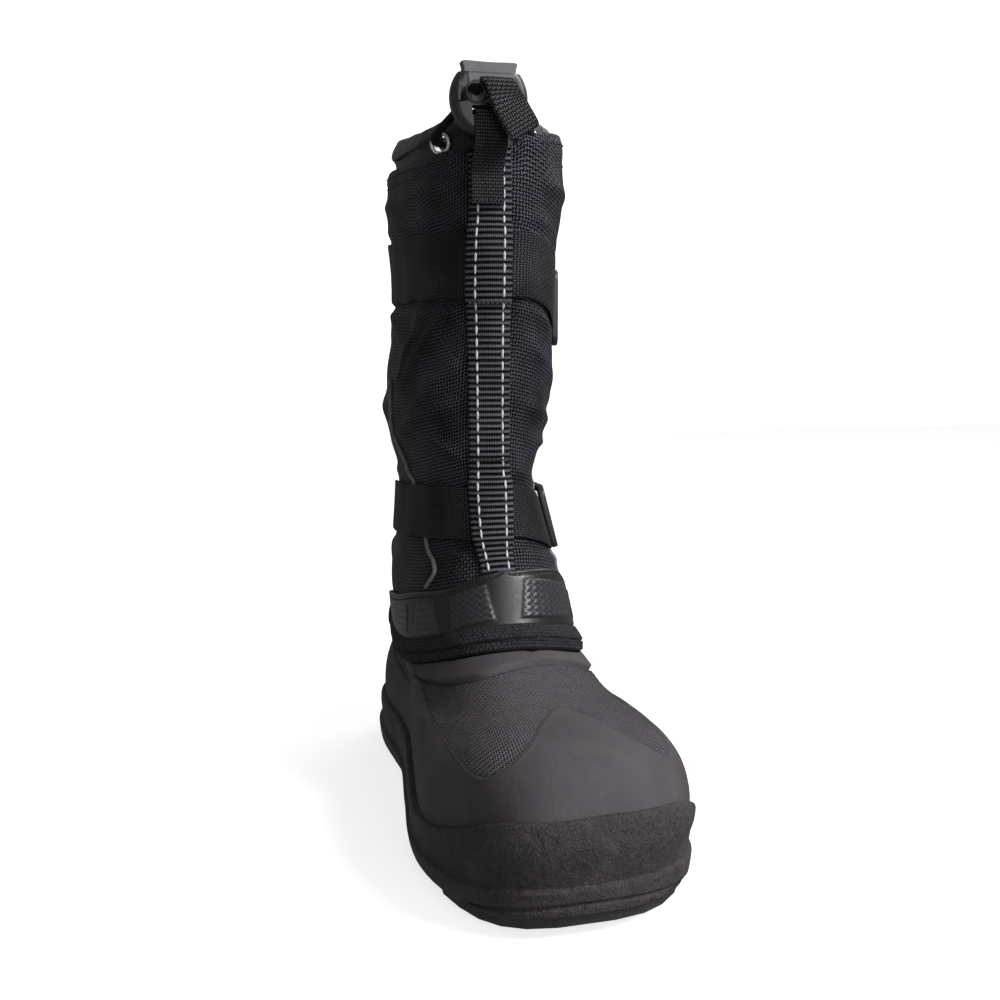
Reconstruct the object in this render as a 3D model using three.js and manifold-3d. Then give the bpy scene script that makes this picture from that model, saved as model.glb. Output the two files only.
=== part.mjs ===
// Snow boot for the left foot, empty and standing on its sole, in millimetres.
// +Z is up, -Y points out of the toe and +X is the lateral (outer) side.
// A rubber galosh on a lugged sole carries a nylon shaft with an ankle guard, two
// webbing straps, a webbing spine and a drawcord collar with a push-button lock.
import * as THREE from "three";
import { mergeVertices } from "three/addons/utils/BufferGeometryUtils.js";
import Module from "manifold-3d";

const wasm = await Module();
wasm.setup();

// ---------------------------------------------------------------- driving sizes
const SOLE_LENGTH = 290;
const GAP = 0.3; // between pieces that meet
const GALOSH_WALL = 3;
const SHAFT_WALL = 3;
const COLLAR_WALL = 1.6;
const WEBBING = 1.5; // thickness of every webbing
const SPINE = { width: 18.5, x: -3.5 };
const LOOP = { width: 15, x: -6, foot: 277 };
const INSOLE_THICKNESS = 5;
const TREAD = 4; // depth of the lugs
const RAND = 2.8; // how far the rand stands off the galosh
const GUARD = 2.2;
const ROLL = 4; // thickness of the padded ankle roll
const CORD = 3.8; // drawcord diameter
const LOCK = { x: -6, y: 1, z: 322, radius: 17.5, thickness: 9, flatTop: 10.5 };
const WELL = { width: 25.4, depth: 6.2, floor: 4.3 }; // where the button slides
const BUTTON = { width: 24.4, lip: 25.6, depth: 5.4, low: 8.6, flare: 13.8, high: 15.6 };
const LOOP_SLOT = { side: 1, height: 4, up: -5.6 };
const EAR = { side: 14.4, up: 2, width: 2.6, height: 9.4 };
const CORD_HOLE = { side: 6.5, up: 2, radius: 3.2, cup: 5 };
const EYELET = { outer: 5.2, inner: 3.6, up: 308, reach: 18 };
const TAB = { width: 15, length: 27, thickness: 4, lean: 25 };
const TURNS = 32; // steps round a full ring

// ---------------------------------------------------------------- the last
// One row for each ring round the boot, from the bottom edge up to the top edge.
// A ring runs through a front point and a back point, both given as the distance
// along the sole from the heel and the height, and has two half widths. `dip`
// bends its sides up or down, `tip` lifts the medial side over the lateral one,
// `foot` turns an oval into a foot outline, `square` is the power of its corners
// and `lean` moves it towards the lateral side.
const RING_COLUMNS = [
  "frontAlong", "frontUp", "backAlong", "backUp", "medial", "lateral",
  "dip", "tip", "foot", "square", "lean",
];
const ringRows = (table) =>
  Object.values(table).map((row) => Object.fromEntries(RING_COLUMNS.map((name, i) => [name, row[i]])));
const UPPER_RINGS = {
  feather: [281, 24, 5, 20, 53, 57, -4, 0, 1, 3, 0],
  wall: [284, 38, 3, 34, 54, 60, -6, 0, 1, 3, 0],
  shoulder: [277, 54, 2, 46, 53, 59.5, -10, 0, 1, 2.9, 0],
  toeTop: [258, 64, 3, 56, 50, 57.5, -15, 0, 1, 2.7, 0],
  toeBox: [232, 67, 5, 62, 46, 54.5, -16, 0, 0.95, 2.5, 0],
  vamp: [204, 69, 7, 68, 42, 52, -17, 0, 0.85, 2.3, 0],
  rim: [170, 79, 9, 75, 38, 48.5, -16, 0, 0.6, 2.2, 0],
  rollTop: [162, 89, 10, 84, 38, 46, -15, 0, 0.35, 2.2, 0],
  guardTop: [152, 112, 13, 106, 37, 41.5, -12, 0, 0.1, 2.2, 0],
  ankle: [144, 126, 14, 122, 32.5, 36, -6, 0, 0, 2.2, 0],
  lowStrap: [139, 150, 14, 150, 29.5, 30.5, 0, 0, 0, 2.2, -1],
  shin: [137, 172, 12, 172, 34.5, 37, 0, 0, 0, 2.2, -1],
  calf: [137, 200, 9, 200, 36.5, 38.5, 0, 0, 0, 2.2, 1],
  upperCalf: [138, 228, 7, 228, 34, 37, 0, 0, 0, 2.2, 3],
  topStrap: [139, 252, 6, 252, 33.5, 37.5, 0, 0, 0, 2.2, 3],
  top: [140, 280, 5, 280, 37.5, 41, 0, 0, 0, 2.4, 4],
  edge: [138, 303, 5, 307, 37, 39, 0, -3, 0, 2.5, 5],
};
const UPPER = ringRows(UPPER_RINGS);
const LEVEL = Object.fromEntries(Object.keys(UPPER_RINGS).map((ring, i) => [ring, i]));

// The thin collar, from its seam inside the shaft up to its gathered hem.
const COLLAR = ringRows({
  seam: [135.5, 290, 8.7, 292, 34.4, 36.4, 0, 0, 0, 2.45, 4.5],
  shaftEdge: [134.3, 303, 8.8, 306, 33.3, 35.3, 0, 0, 0, 2.5, 5],
  hem: [133, 309, 9, 314, 35, 34, 0, 3, 0, 2.5, 4.5],
  rim: [130, 313, 12, 319, 32, 31, 0, 4, 0, 2.5, 4],
});

// Foot outline from heel (0) to toe (1), as shares of the ring's half widths.
const FOOT = [
  { at: 0, medial: 0.8, lateral: 0.8, curve: 0 },
  { at: 0.15, medial: 0.74, lateral: 0.76, curve: 0 },
  { at: 0.35, medial: 0.68, lateral: 0.76, curve: 0 },
  { at: 0.55, medial: 0.84, lateral: 0.9, curve: 0 },
  { at: 0.72, medial: 1, lateral: 1, curve: 0 },
  { at: 0.86, medial: 1, lateral: 1, curve: -2 },
  { at: 1, medial: 0.95, lateral: 0.97, curve: -8 },
];

// The sole's side, from heel (0) to toe (1): the ground, and the tops of the
// outsole's edge and of the raised rand over it.
const SIDE = [
  { at: 0, ground: 3, edge: 14, rand: 27 },
  { at: 0.08, ground: 0, edge: 13, rand: 28 },
  { at: 0.3, ground: 0, edge: 12, rand: 29 },
  { at: 0.42, ground: 2.5, edge: 11, rand: 26 },
  { at: 0.55, ground: 0, edge: 10, rand: 23 },
  { at: 0.68, ground: 0, edge: 10, rand: 23 },
  { at: 0.78, ground: 0, edge: 12, rand: 27 },
  { at: 0.87, ground: 1.6, edge: 15, rand: 36 },
  { at: 0.94, ground: 4.2, edge: 19.5, rand: 44 },
  { at: 1, ground: 7, edge: 22, rand: 47 },
];

const mix = THREE.MathUtils.lerp;
const smooth = THREE.MathUtils.smoothstep;

// Catmull-Rom through one column of a table, at a real row number.
function column(rows, name, level) {
  const i = Math.min(Math.max(Math.floor(level), 0), rows.length - 2);
  const t = level - i;
  const at = (k) => rows[Math.min(Math.max(k, 0), rows.length - 1)][name];
  const [a, b, c, d] = [at(i - 1), at(i), at(i + 1), at(i + 2)];
  return b + 0.5 * t * (c - a + t * (2 * a - 5 * b + 4 * c - d + t * (3 * (b - c) + d - a)));
}

// The same at a place that the table's own `at` column gives.
function lookUp(rows, name, at) {
  const next = rows.findIndex((row) => row.at > at);
  const i = next < 1 ? rows.length - 2 : next - 1;
  return column(rows, name, i + (at - rows[i].at) / (rows[i + 1].at - rows[i].at));
}

const alongOf = (point) => SOLE_LENGTH / 2 - point.y;
const sideHeight = (name, point) =>
  lookUp(SIDE, name, THREE.MathUtils.clamp(alongOf(point) / SOLE_LENGTH, 0, 1));

// A point of a ring. `turn` is in degrees: 0 front, 90 lateral, 180 back, 270 medial.
function ringPoint(rows, level, turn) {
  const get = (name) => column(rows, name, level);
  const angle = THREE.MathUtils.degToRad(turn);
  const power = 2 / get("square");
  const bow = (value) => Math.sign(value) * Math.abs(value) ** power;
  const share = (1 + bow(Math.cos(angle))) / 2;
  const side = bow(Math.sin(angle));
  const hand = side > 0 ? "lateral" : "medial";
  const foot = get("foot");
  const x = side * get(hand) * mix(1, lookUp(FOOT, hand, share), foot);
  const along = mix(get("backAlong"), get("frontAlong"), share);
  const arch = get("dip") * 4 * share * (1 - share);
  const up = mix(get("backUp"), get("frontUp"), share) + arch - get("tip") * side;
  const bend = foot * lookUp(FOOT, "curve", share) + get("lean");
  return new THREE.Vector3(x + bend, SOLE_LENGTH / 2 - along, up);
}

// The outward direction of the surface through the rings.
function outward(rows, level, turn) {
  const step = 0.04;
  const low = Math.max(level - step, 0);
  const high = Math.min(level + step, rows.length - 1);
  const round = ringPoint(rows, level, turn + 1).sub(ringPoint(rows, level, turn - 1));
  const rise = ringPoint(rows, high, turn).sub(ringPoint(rows, low, turn));
  return round.cross(rise).normalize();
}

const offsetPoint = (rows, level, turn, offset) =>
  ringPoint(rows, level, turn).addScaledVector(outward(rows, level, turn), offset);

// Halves the span until `measure` gives `target`; it rises from `low` to `high`.
function solve(measure, target, low, high) {
  for (let i = 0; i < 30; i++) {
    const middle = (low + high) / 2;
    if (measure(middle) < target) low = middle;
    else high = middle;
  }
  return (low + high) / 2;
}

const levelAt = (height, turn, low = 0, high = UPPER.length - 1) =>
  solve((level) => ringPoint(UPPER, level, turn).z, height, low, high);
const turnAt = (rows, level, x) => solve((turn) => ringPoint(rows, level, turn).x, x, -85, 85);

// ---------------------------------------------------------------- solid helpers
// A closed body through loops of points. With `wrap` the last loop joins the first
// one, and otherwise both ends are closed by strips across the loop.
function stack(loops, wrap) {
  const count = loops[0].length;
  const position = loops.flat().flatMap((point) => [point.x, point.y, point.z]);
  const index = [];
  const quad = (a, b, c, d) => index.push(a, b, c, a, c, d);
  const bands = wrap ? loops.length : loops.length - 1;
  for (let k = 0; k < bands; k++) {
    const lower = k * count;
    const upper = ((k + 1) % loops.length) * count;
    for (let i = 0; i < count; i++) {
      const j = (i + 1) % count;
      quad(lower + i, lower + j, upper + j, upper + i);
    }
  }
  if (!wrap) {
    const last = (loops.length - 1) * count;
    for (let i = 0; i < count / 2 - 1; i++) {
      const j = count - 1 - i;
      quad(i, j, j - 1, i + 1);
      quad(last + i, last + i + 1, last + j - 1, last + j);
    }
  }
  const geometry = new THREE.BufferGeometry();
  geometry.setAttribute("position", new THREE.Float32BufferAttribute(position, 3));
  geometry.setIndex(index);
  return geometry;
}

function toSolid(geometry) {
  const bare = geometry.clone();
  bare.deleteAttribute("normal");
  bare.deleteAttribute("uv");
  const merged = mergeVertices(bare, 1e-4);
  const make = (triVerts) =>
    new wasm.Manifold(
      new wasm.Mesh({ numProp: 3, vertProperties: merged.attributes.position.array, triVerts }),
    );
  const triangles = merged.index.array;
  const solid = make(Uint32Array.from(triangles));
  return solid.volume() > 0 ? solid : make(Uint32Array.from(triangles).reverse());
}

function toGeometry(solid) {
  const mesh = solid.getMesh();
  const geometry = new THREE.BufferGeometry();
  geometry.setAttribute("position", new THREE.Float32BufferAttribute(mesh.vertProperties, 3));
  geometry.setIndex(Array.from(mesh.triVerts));
  return geometry;
}

// What is left of a solid after the cuts, without any loose sliver.
function trim(solid, cuts) {
  const parts = cuts.reduce((left, cut) => left.subtract(cut), solid).decompose();
  return parts.reduce((best, part) => (part.volume() > best.volume() ? part : best));
}

const place = (geometry, x, y, z) => toSolid(geometry.clone().translate(x, y, z));
const box = (width, depth, height) => new THREE.BoxGeometry(width, depth, height);
const steps = (count) => Array.from({ length: count + 1 }, (_, i) => i / count);
const fullTurn = (count = TURNS) => Array.from({ length: count }, (_, i) => ((i + 0.5) * 360) / count);

// A hollow band all round the boot between two offsets of the surface.
function band({ rows = UPPER, low, high, inner, outer, count, turns = TURNS }) {
  const value = (item, ...from) => (typeof item === "function" ? item(...from) : item);
  const loop = (share, offset) =>
    fullTurn(turns).map((turn) => {
      const level = mix(value(low, turn), value(high, turn), share);
      return offsetPoint(rows, level, turn, value(offset, share, turn));
    });
  const up = steps(count).map((share) => loop(share, outer));
  const down = steps(count).reverse().map((share) => loop(share, inner));
  return toSolid(stack([...up, ...down], true));
}

// The closed form of the surface itself at some levels, moved out by an offset.
function form(rows, levels, offset) {
  const loop = (level) => fullTurn().map((turn) => offsetPoint(rows, level, turn, offset));
  return toSolid(stack(levels.map(loop), false));
}

const sharesOf = (low, high, count) => steps(count).map((share) => mix(low, high, share));

// ---------------------------------------------------------------- sole and galosh
const GALOSH_LOOPS = 10;

// A point on the sole's side: the galosh's bottom edge moved out, at a height.
function solePoint(turn, out, up) {
  const point = ringPoint(UPPER, 0, turn);
  const side = outward(UPPER, 0, turn).setZ(0).normalize();
  const moved = point.clone().addScaledVector(side, out);
  return moved.setZ(up(point));
}

function lugShape(turns, out, inside) {
  const flat = (turn, inset) => {
    const point = solePoint(turn, -inset, () => 0);
    return new THREE.Vector2(point.x, point.y);
  };
  const outer = turns.map((turn) => flat(turn, out));
  const inner = turns.map((turn) => flat(turn, inside)).reverse();
  return new THREE.Shape([...outer, ...inner]);
}

// Chevron blocks down the middle of the tread.
function chevron(along, width, depth, x) {
  const y = SOLE_LENGTH / 2 - along;
  const half = width / 2;
  return new THREE.Shape([
    new THREE.Vector2(x - half, y + half * 0.5),
    new THREE.Vector2(x, y),
    new THREE.Vector2(x + half, y + half * 0.5),
    new THREE.Vector2(x + half, y + half * 0.5 + depth),
    new THREE.Vector2(x, y + depth),
    new THREE.Vector2(x - half, y + half * 0.5 + depth),
  ]);
}

function makeOutsole() {
  const turns = fullTurn();
  const ground = (point) => Math.max(sideHeight("ground", point), 0);
  const randLevel = (turn) => {
    const target = sideHeight("rand", ringPoint(UPPER, 1, turn));
    return levelAt(target, turn, 0, LEVEL.toeTop);
  };
  const randPoint = (turn, share, offset) => offsetPoint(UPPER, randLevel(turn) * share, turn, offset);
  const body = [
    turns.map((turn) => solePoint(turn, 1.5, (point) => ground(point) + TREAD)),
    turns.map((turn) => solePoint(turn, 3.8, (point) => ground(point) + TREAD + 3)),
    turns.map((turn) => solePoint(turn, 4.6, (point) => sideHeight("edge", point))),
    turns.map((turn) => solePoint(turn, 3.2, (point) => sideHeight("edge", point) + 1)),
    turns.map((turn) => randPoint(turn, 0.35, GAP + RAND)),
    turns.map((turn) => randPoint(turn, 0.7, GAP + RAND)),
    turns.map((turn) => randPoint(turn, 0.96, GAP + RAND - 0.4)),
    turns.map((turn) => randPoint(turn, 1, GAP + RAND - 1.4)),
  ];
  const tread = toSolid(
    stack(
      [
        turns.map((turn) => solePoint(turn, 0, ground)),
        turns.map((turn) => solePoint(turn, 1.4, (point) => ground(point) + TREAD + 1)),
      ],
      false,
    ),
  );
  const range = (from, to, step) =>
    Array.from({ length: Math.round((to - from) / step) + 1 }, (_, i) => from + i * step);
  const shapes = [lugShape(range(-60, 60, 10), -6, 9), lugShape(range(-32, 32, 8), 14, 24)];
  for (const side of [1, -1])
    for (const from of [66, 82, 97, 114, 132, 150])
      shapes.push(lugShape([from, from + 6, from + 11].map((t) => t * side), -6, 15));
  for (const along of [42, 66, 160, 184, 208, 232]) shapes.push(chevron(along, 32, 10, 0));
  shapes.push(lugShape(range(168, 192, 6), -6, 14));
  const prisms = shapes.map((shape) =>
    place(new THREE.ExtrudeGeometry(shape, { depth: 40, bevelEnabled: false }), 0, 0, -5),
  );
  const pattern = prisms.reduce((all, prism) => all.add(prism));
  const cup = form(UPPER, sharesOf(0, LEVEL.rim, GALOSH_LOOPS), GAP);
  const floor = form(UPPER, [0, 0.4], GAP).translate([0, 0, -GAP]);
  return trim(toSolid(stack(body, false)), [cup, floor]).add(tread.intersect(pattern));
}

function makeGalosh() {
  const bead = (share) => 1.3 * smooth(share, 0.9, 0.93);
  return band({ low: 0, high: LEVEL.rim, inner: -GALOSH_WALL, outer: bead, count: GALOSH_LOOPS });
}

function makeInsole() {
  const inset = -GALOSH_WALL - GAP - 0.2;
  const loop = (out, rise) => fullTurn().map((turn) => solePoint(turn, out, (point) => point.z + rise));
  return toSolid(stack([loop(inset, 0), loop(inset, INSOLE_THICKNESS)], false));
}

// ---------------------------------------------------------------- shaft
const ROLL_LOW = LEVEL.rim + 0.06;
const GUARD_LOW = LEVEL.rollTop + 0.04;

const SHAFT_LOOPS = 12;

const makeShaft = () =>
  band({ low: ROLL_LOW, high: LEVEL.edge, inner: -SHAFT_WALL, outer: 0, count: SHAFT_LOOPS });

// Overlays start inside the shaft's surface and are cut back to a gap off it.
const INSIDE = -1;
const shaftCut = form(UPPER, sharesOf(ROLL_LOW, LEVEL.edge, SHAFT_LOOPS), GAP);

function makeCollar() {
  const sleeve = band({ rows: COLLAR, low: 0, high: 3, inner: -COLLAR_WALL, outer: 0, count: 4 });
  return eyeletPlaces.reduce((left, spot) => left.subtract(eyeletHole(spot)), sleeve);
}

function makeRoll() {
  const bulge = (share) => GAP + 1.2 + (ROLL - 1.2) * Math.sqrt(Math.sin(Math.PI * mix(0.08, 0.92, share)));
  const ring = band({ low: ROLL_LOW + 0.02, high: LEVEL.rollTop, inner: INSIDE, outer: bulge, count: 4 });
  return trim(ring, [shaftCut]);
}

// The guard wraps the front of the ankle and thins out to both sides.
function makeGuard() {
  const reach = 118;
  const peak = (turn) => LEVEL.guardTop + 0.14 * Math.exp(-(((turn + 5) / 9) ** 2));
  const loops = steps(4).map((share) => {
    const level = (turn) => mix(GUARD_LOW, peak(turn), share);
    const turns = steps(24).map((t) => mix(-reach, reach, t));
    const edge = share === 0 || share === 1 ? 0.7 : 1;
    const skin = turns.map((turn) => offsetPoint(UPPER, level(turn), turn, GAP + GUARD * edge));
    const back = turns.map((turn) => offsetPoint(UPPER, level(turn), turn, INSIDE)).reverse();
    return [...skin, ...back];
  });
  return trim(toSolid(stack(loops, false)), [shaftCut]);
}

// A strap follows the shaft at a height that changes with the turn. It stops at the
// buckle on the lateral side and stands off where the buckle's bars hold it.
const STRAPS = {
  upper: { width: 30, front: 251, back: 249, lateral: 233, turn: 88 },
  lower: { width: 25, front: 139, back: 128, lateral: 127, turn: 84 },
};

function strapHeight(strap, turn) {
  const away = Math.abs(((turn - strap.turn + 540) % 360) - 180);
  const base = mix(strap.back, strap.front, (1 + Math.cos(THREE.MathUtils.degToRad(turn))) / 2);
  return mix(strap.lateral, base, smooth(away, 0, 75));
}

function strapForm(strap, grow) {
  const half = strap.width / 2 + grow;
  const edge = (sign) => (turn) =>
    levelAt(strapHeight(strap, turn) + sign * half, turn, LEVEL.rim, LEVEL.edge);
  return band({ low: edge(-1), high: edge(1), inner: INSIDE, outer: GAP + WEBBING + grow, count: 2 });
}

const makeStrap = (strap) => trim(strapForm(strap, 0), [shaftCut]);

// The spine runs up the front and rides over both straps.
function spineLift(height) {
  const over = Object.values(STRAPS).map((strap) => {
    const away = Math.abs(height - strapHeight(strap, 0));
    return 1 - smooth(away, strap.width / 2 + 0.5, strap.width / 2 + 5);
  });
  return GAP + Math.max(...over) * (WEBBING + GAP);
}

function makeSpine() {
  const low = LEVEL.guardTop + 0.2;
  const high = LEVEL.edge - 0.06;
  const loops = steps(22).map((share) => {
    const level = mix(low, high, share);
    const across = steps(4).map((t) => turnAt(UPPER, level, SPINE.x + (t - 0.5) * SPINE.width));
    const lift = (turn) => spineLift(ringPoint(UPPER, level, turn).z);
    const skin = across.map((turn) => offsetPoint(UPPER, level, turn, lift(turn) + WEBBING));
    const back = across.map((turn) => offsetPoint(UPPER, level, turn, lift(turn) + INSIDE)).reverse();
    return [...skin, ...back];
  });
  const straps = Object.values(STRAPS).map((strap) => strapForm(strap, GAP));
  return trim(toSolid(stack(loops, false)), [shaftCut, ...straps]);
}

// ---------------------------------------------------------------- buckles
// A ladder-lock frame with two slots, standing on its strap at the lateral side.
function makeBuckle(strap) {
  const bar = 3.6;
  const thickness = 3.4;
  const round = 3;
  const stand = 3.2; // how far it stands off the strap
  const size = new THREE.Vector2(24, strap.width + 8);
  const corners = [[1, 1, 0], [-1, 1, 90], [-1, -1, 180], [1, -1, 270]];
  const outline = corners.flatMap(([right, up, start]) =>
    steps(3).map((share) => {
      const angle = THREE.MathUtils.degToRad(start + 90 * share);
      const middle = new THREE.Vector2(right * (size.x / 2 - round), up * (size.y / 2 - round));
      return middle.add(new THREE.Vector2(Math.cos(angle), Math.sin(angle)).multiplyScalar(round));
    }),
  );
  const shape = new THREE.Shape(outline);
  const plate = new THREE.ExtrudeGeometry(shape, { depth: thickness, bevelEnabled: false });
  const slot = (size.x - 3 * bar) / 2;
  const cutter = box(slot, strap.width + 2, 4 * thickness);
  const frame = [1, -1].reduce(
    (left, side) => left.subtract(place(cutter, (side * (slot + bar)) / 2, 0, 0)),
    toSolid(plate),
  );
  const level = levelAt(strap.lateral, strap.turn, LEVEL.rim, LEVEL.edge);
  const out = outward(UPPER, level, strap.turn);
  const rise = new THREE.Vector3(0, 0, 1).addScaledVector(out, -out.z).normalize();
  const across = rise.clone().cross(out);
  const at = offsetPoint(UPPER, level, strap.turn, GAP + WEBBING + stand);
  const standing = toGeometry(frame).applyMatrix4(new THREE.Matrix4().makeBasis(across, rise, out));
  return place(standing, at.x, at.y, at.z);
}

// ---------------------------------------------------------------- collar hardware
// Where each eyelet sits on the collar, as a level and a turn of the collar's rings.
function eyeletSpot(side) {
  const x = SPINE.x + side * EYELET.reach;
  const turn = turnAt(COLLAR, 1.8, x);
  const level = solve((l) => ringPoint(COLLAR, l, turn).z, EYELET.up, 0, 3);
  const at = ringPoint(COLLAR, level, turn);
  return { at, out: outward(COLLAR, level, turn) };
}
const eyeletPlaces = [eyeletSpot(-1), eyeletSpot(1)];

function alongAxis(geometry, at, out) {
  const turn = new THREE.Quaternion().setFromUnitVectors(new THREE.Vector3(0, 1, 0), out);
  return toSolid(geometry.applyQuaternion(turn).translate(at.x, at.y, at.z));
}

const eyeletHole = ({ at, out }) => alongAxis(new THREE.CylinderGeometry(5, 5, 12, 20), at, out);

function makeEyelet({ at, out }) {
  const face = 1.4;
  const back = -COLLAR_WALL - 1.5;
  const profile = [
    [EYELET.inner, back - 0.6],
    [EYELET.outer - 0.4, back - 0.6],
    [EYELET.outer - 0.4, back],
    [4.4, back],
    [4.4, face],
    [EYELET.outer, face],
    [EYELET.outer - 0.3, face + 0.7],
    [EYELET.inner + 0.5, face + 1],
    [EYELET.inner, face + 0.5],
    [EYELET.inner, back - 0.6],
  ].map(([radius, up]) => new THREE.Vector2(radius, up));
  return alongAxis(new THREE.LatheGeometry(profile, 16), at, out);
}

function makeLockBody() {
  const half = LOCK.thickness / 2;
  const profile = [
    [0, -half],
    [LOCK.radius - 4, -half],
    [LOCK.radius - 0.8, -half + 1.8],
    [LOCK.radius, 0],
    [LOCK.radius - 0.8, half - 1.8],
    [LOCK.radius - 4, half],
    [0, half],
  ].map(([radius, up]) => new THREE.Vector2(radius, up));
  const disc = toSolid(new THREE.LatheGeometry(profile, 28));
  const through = 2 * LOCK.thickness;
  const top = place(box(2 * LOCK.radius, through, LOCK.radius), 0, 0, LOCK.flatTop + LOCK.radius / 2);
  const well = place(box(WELL.width, WELL.depth, LOCK.radius), 0, 0, WELL.floor + LOCK.radius / 2);
  const slot = place(box(LOOP.width + 2 * LOOP_SLOT.side, through, LOOP_SLOT.height), 0, 0, LOOP_SLOT.up);
  let body = disc.subtract(top).subtract(well).subtract(slot);
  for (const side of [1, -1]) {
    const x = side * CORD_HOLE.side;
    const hole = new THREE.CylinderGeometry(CORD_HOLE.radius, CORD_HOLE.radius, through, 16);
    const cup = new THREE.CylinderGeometry(CORD_HOLE.radius, CORD_HOLE.cup, 2, 16);
    const ear = new THREE.CylinderGeometry(0.5, 0.5, through, 12).scale(EAR.width, 1, EAR.height);
    body = body
      .subtract(place(hole, x, 0, CORD_HOLE.up))
      .subtract(place(cup, x, -half + 0.6, CORD_HOLE.up))
      .subtract(place(ear, side * EAR.side, 0, EAR.up));
  }
  return body.translate([LOCK.x, LOCK.y, LOCK.z]);
}

// The button's foot stands in the well's mouth, and it flares to a lip at its top.
function makeLockButton() {
  const half = BUTTON.width / 2;
  const lip = BUTTON.lip / 2;
  const outline = new THREE.Shape([
    new THREE.Vector2(-half, BUTTON.low),
    new THREE.Vector2(half, BUTTON.low),
    new THREE.Vector2(half, BUTTON.flare),
    new THREE.Vector2(lip, BUTTON.flare + 1),
    new THREE.Vector2(0, BUTTON.high),
    new THREE.Vector2(-lip, BUTTON.flare + 1),
    new THREE.Vector2(-half, BUTTON.flare),
  ]);
  const cap = new THREE.ExtrudeGeometry(outline, { depth: BUTTON.depth, bevelEnabled: false });
  cap.translate(0, 0, -BUTTON.depth / 2).rotateX(Math.PI / 2);
  return place(cap, LOCK.x, LOCK.y, LOCK.z);
}

// The lock's loop: one webbing sewn to the spine, up in front of the lock, through
// its slot and down behind it.
function makeLoop() {
  const front = (height) => {
    const level = levelAt(height, 0, LEVEL.lowStrap, LEVEL.edge);
    const turn = turnAt(UPPER, level, LOOP.x + LOOP.width / 2);
    return offsetPoint(UPPER, level, turn, 3 * GAP + 1.5 * WEBBING).y;
  };
  const slotUp = LOCK.z + LOOP_SLOT.up;
  const face = LOCK.y - LOCK.thickness / 2 - GAP - WEBBING / 2;
  const rear = LOCK.y + LOCK.thickness / 2 + GAP + WEBBING / 2;
  const middle = [
    [front(LOOP.foot), LOOP.foot],
    [front(285), 285],
    [front(291), 291],
    [mix(front(297), face, 0.45), 297],
    [face + 0.9, 302],
    [face, 306],
    [face, slotUp - 1.4],
    [face + 1, slotUp],
    [rear - 1, slotUp],
    [rear, slotUp - 1.4],
    [rear, 306],
  ].map(([y, z]) => new THREE.Vector2(y, z));
  const sideOf = (sign) =>
    middle.map((point, i) => {
      const before = middle[Math.max(i - 1, 0)];
      const after = middle[Math.min(i + 1, middle.length - 1)];
      const normal = after.clone().sub(before).normalize().rotateAround(new THREE.Vector2(), Math.PI / 2);
      return point.clone().addScaledVector(normal, (sign * WEBBING) / 2);
    });
  const outline = new THREE.Shape([...sideOf(1), ...sideOf(-1).reverse()]);
  const webbing = new THREE.ExtrudeGeometry(outline, { depth: LOOP.width, bevelEnabled: false });
  const axes = new THREE.Matrix4().makeBasis(
    new THREE.Vector3(0, 1, 0),
    new THREE.Vector3(0, 0, 1),
    new THREE.Vector3(1, 0, 0),
  );
  webbing.applyMatrix4(axes);
  return place(webbing, LOOP.x - LOOP.width / 2, 0, 0);
}

// The drawcord's two ends: out of an eyelet, behind the lock, forward through its
// hole and up to the head of the pull tab.
const TAB_HEAD = new THREE.Vector3(-6.5, -11.5, 329.5);

function cordRoute(side) {
  const { at, out } = eyeletPlaces[side < 0 ? 0 : 1];
  const hole = new THREE.Vector3(LOCK.x + side * CORD_HOLE.side, LOCK.y, LOCK.z + CORD_HOLE.up);
  const from = (point, x, y, z) => point.clone().add(new THREE.Vector3(x, y, z));
  const lean = THREE.MathUtils.degToRad(TAB.lean);
  const head = from(TAB_HEAD, side * 3.4 * Math.cos(lean), 0, side * 3.4 * Math.sin(lean));
  return [
    at.clone().addScaledVector(out, -4),
    at.clone().addScaledVector(out, 1),
    at.clone().addScaledVector(out, 5).setZ(at.z + 2.5),
    from(hole, side * 7, 9.6, -8),
    from(hole, side * 2, 9, -1.5),
    from(hole, 0, 5.5, 0),
    from(hole, 0, -4, 0),
    from(hole, 0, -6.6, 1),
    from(head, 0, 4.7, -1.5),
    from(head, 0, 4.1, 1.8),
    from(head, -0.6, 2, 3.9),
    from(head, -0.8, 0.2, 3.2),
    from(head, -0.2, 0, 0.9),
  ];
}

function makeCord(side) {
  const path = new THREE.CatmullRomCurve3(cordRoute(side), false, "centripetal");
  const section = new THREE.Shape();
  section.absarc(0, 0, CORD / 2, 0, Math.PI * 2, false);
  const options = { steps: 22, extrudePath: path, curveSegments: 4, bevelEnabled: false };
  return toSolid(new THREE.ExtrudeGeometry(section, options));
}

function makeTab() {
  const half = TAB.width / 2;
  const outline = new THREE.Shape([
    new THREE.Vector2(-half, 0),
    new THREE.Vector2(-half, -TAB.length),
    new THREE.Vector2(half, -TAB.length),
    new THREE.Vector2(half, 0),
  ]);
  const tab = new THREE.ExtrudeGeometry(outline, { depth: TAB.thickness, bevelEnabled: false });
  tab.translate(0, 0, -TAB.thickness / 2).rotateX(Math.PI / 2);
  tab.rotateY(THREE.MathUtils.degToRad(-TAB.lean));
  return place(tab, TAB_HEAD.x, TAB_HEAD.y, TAB_HEAD.z);
}

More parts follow.
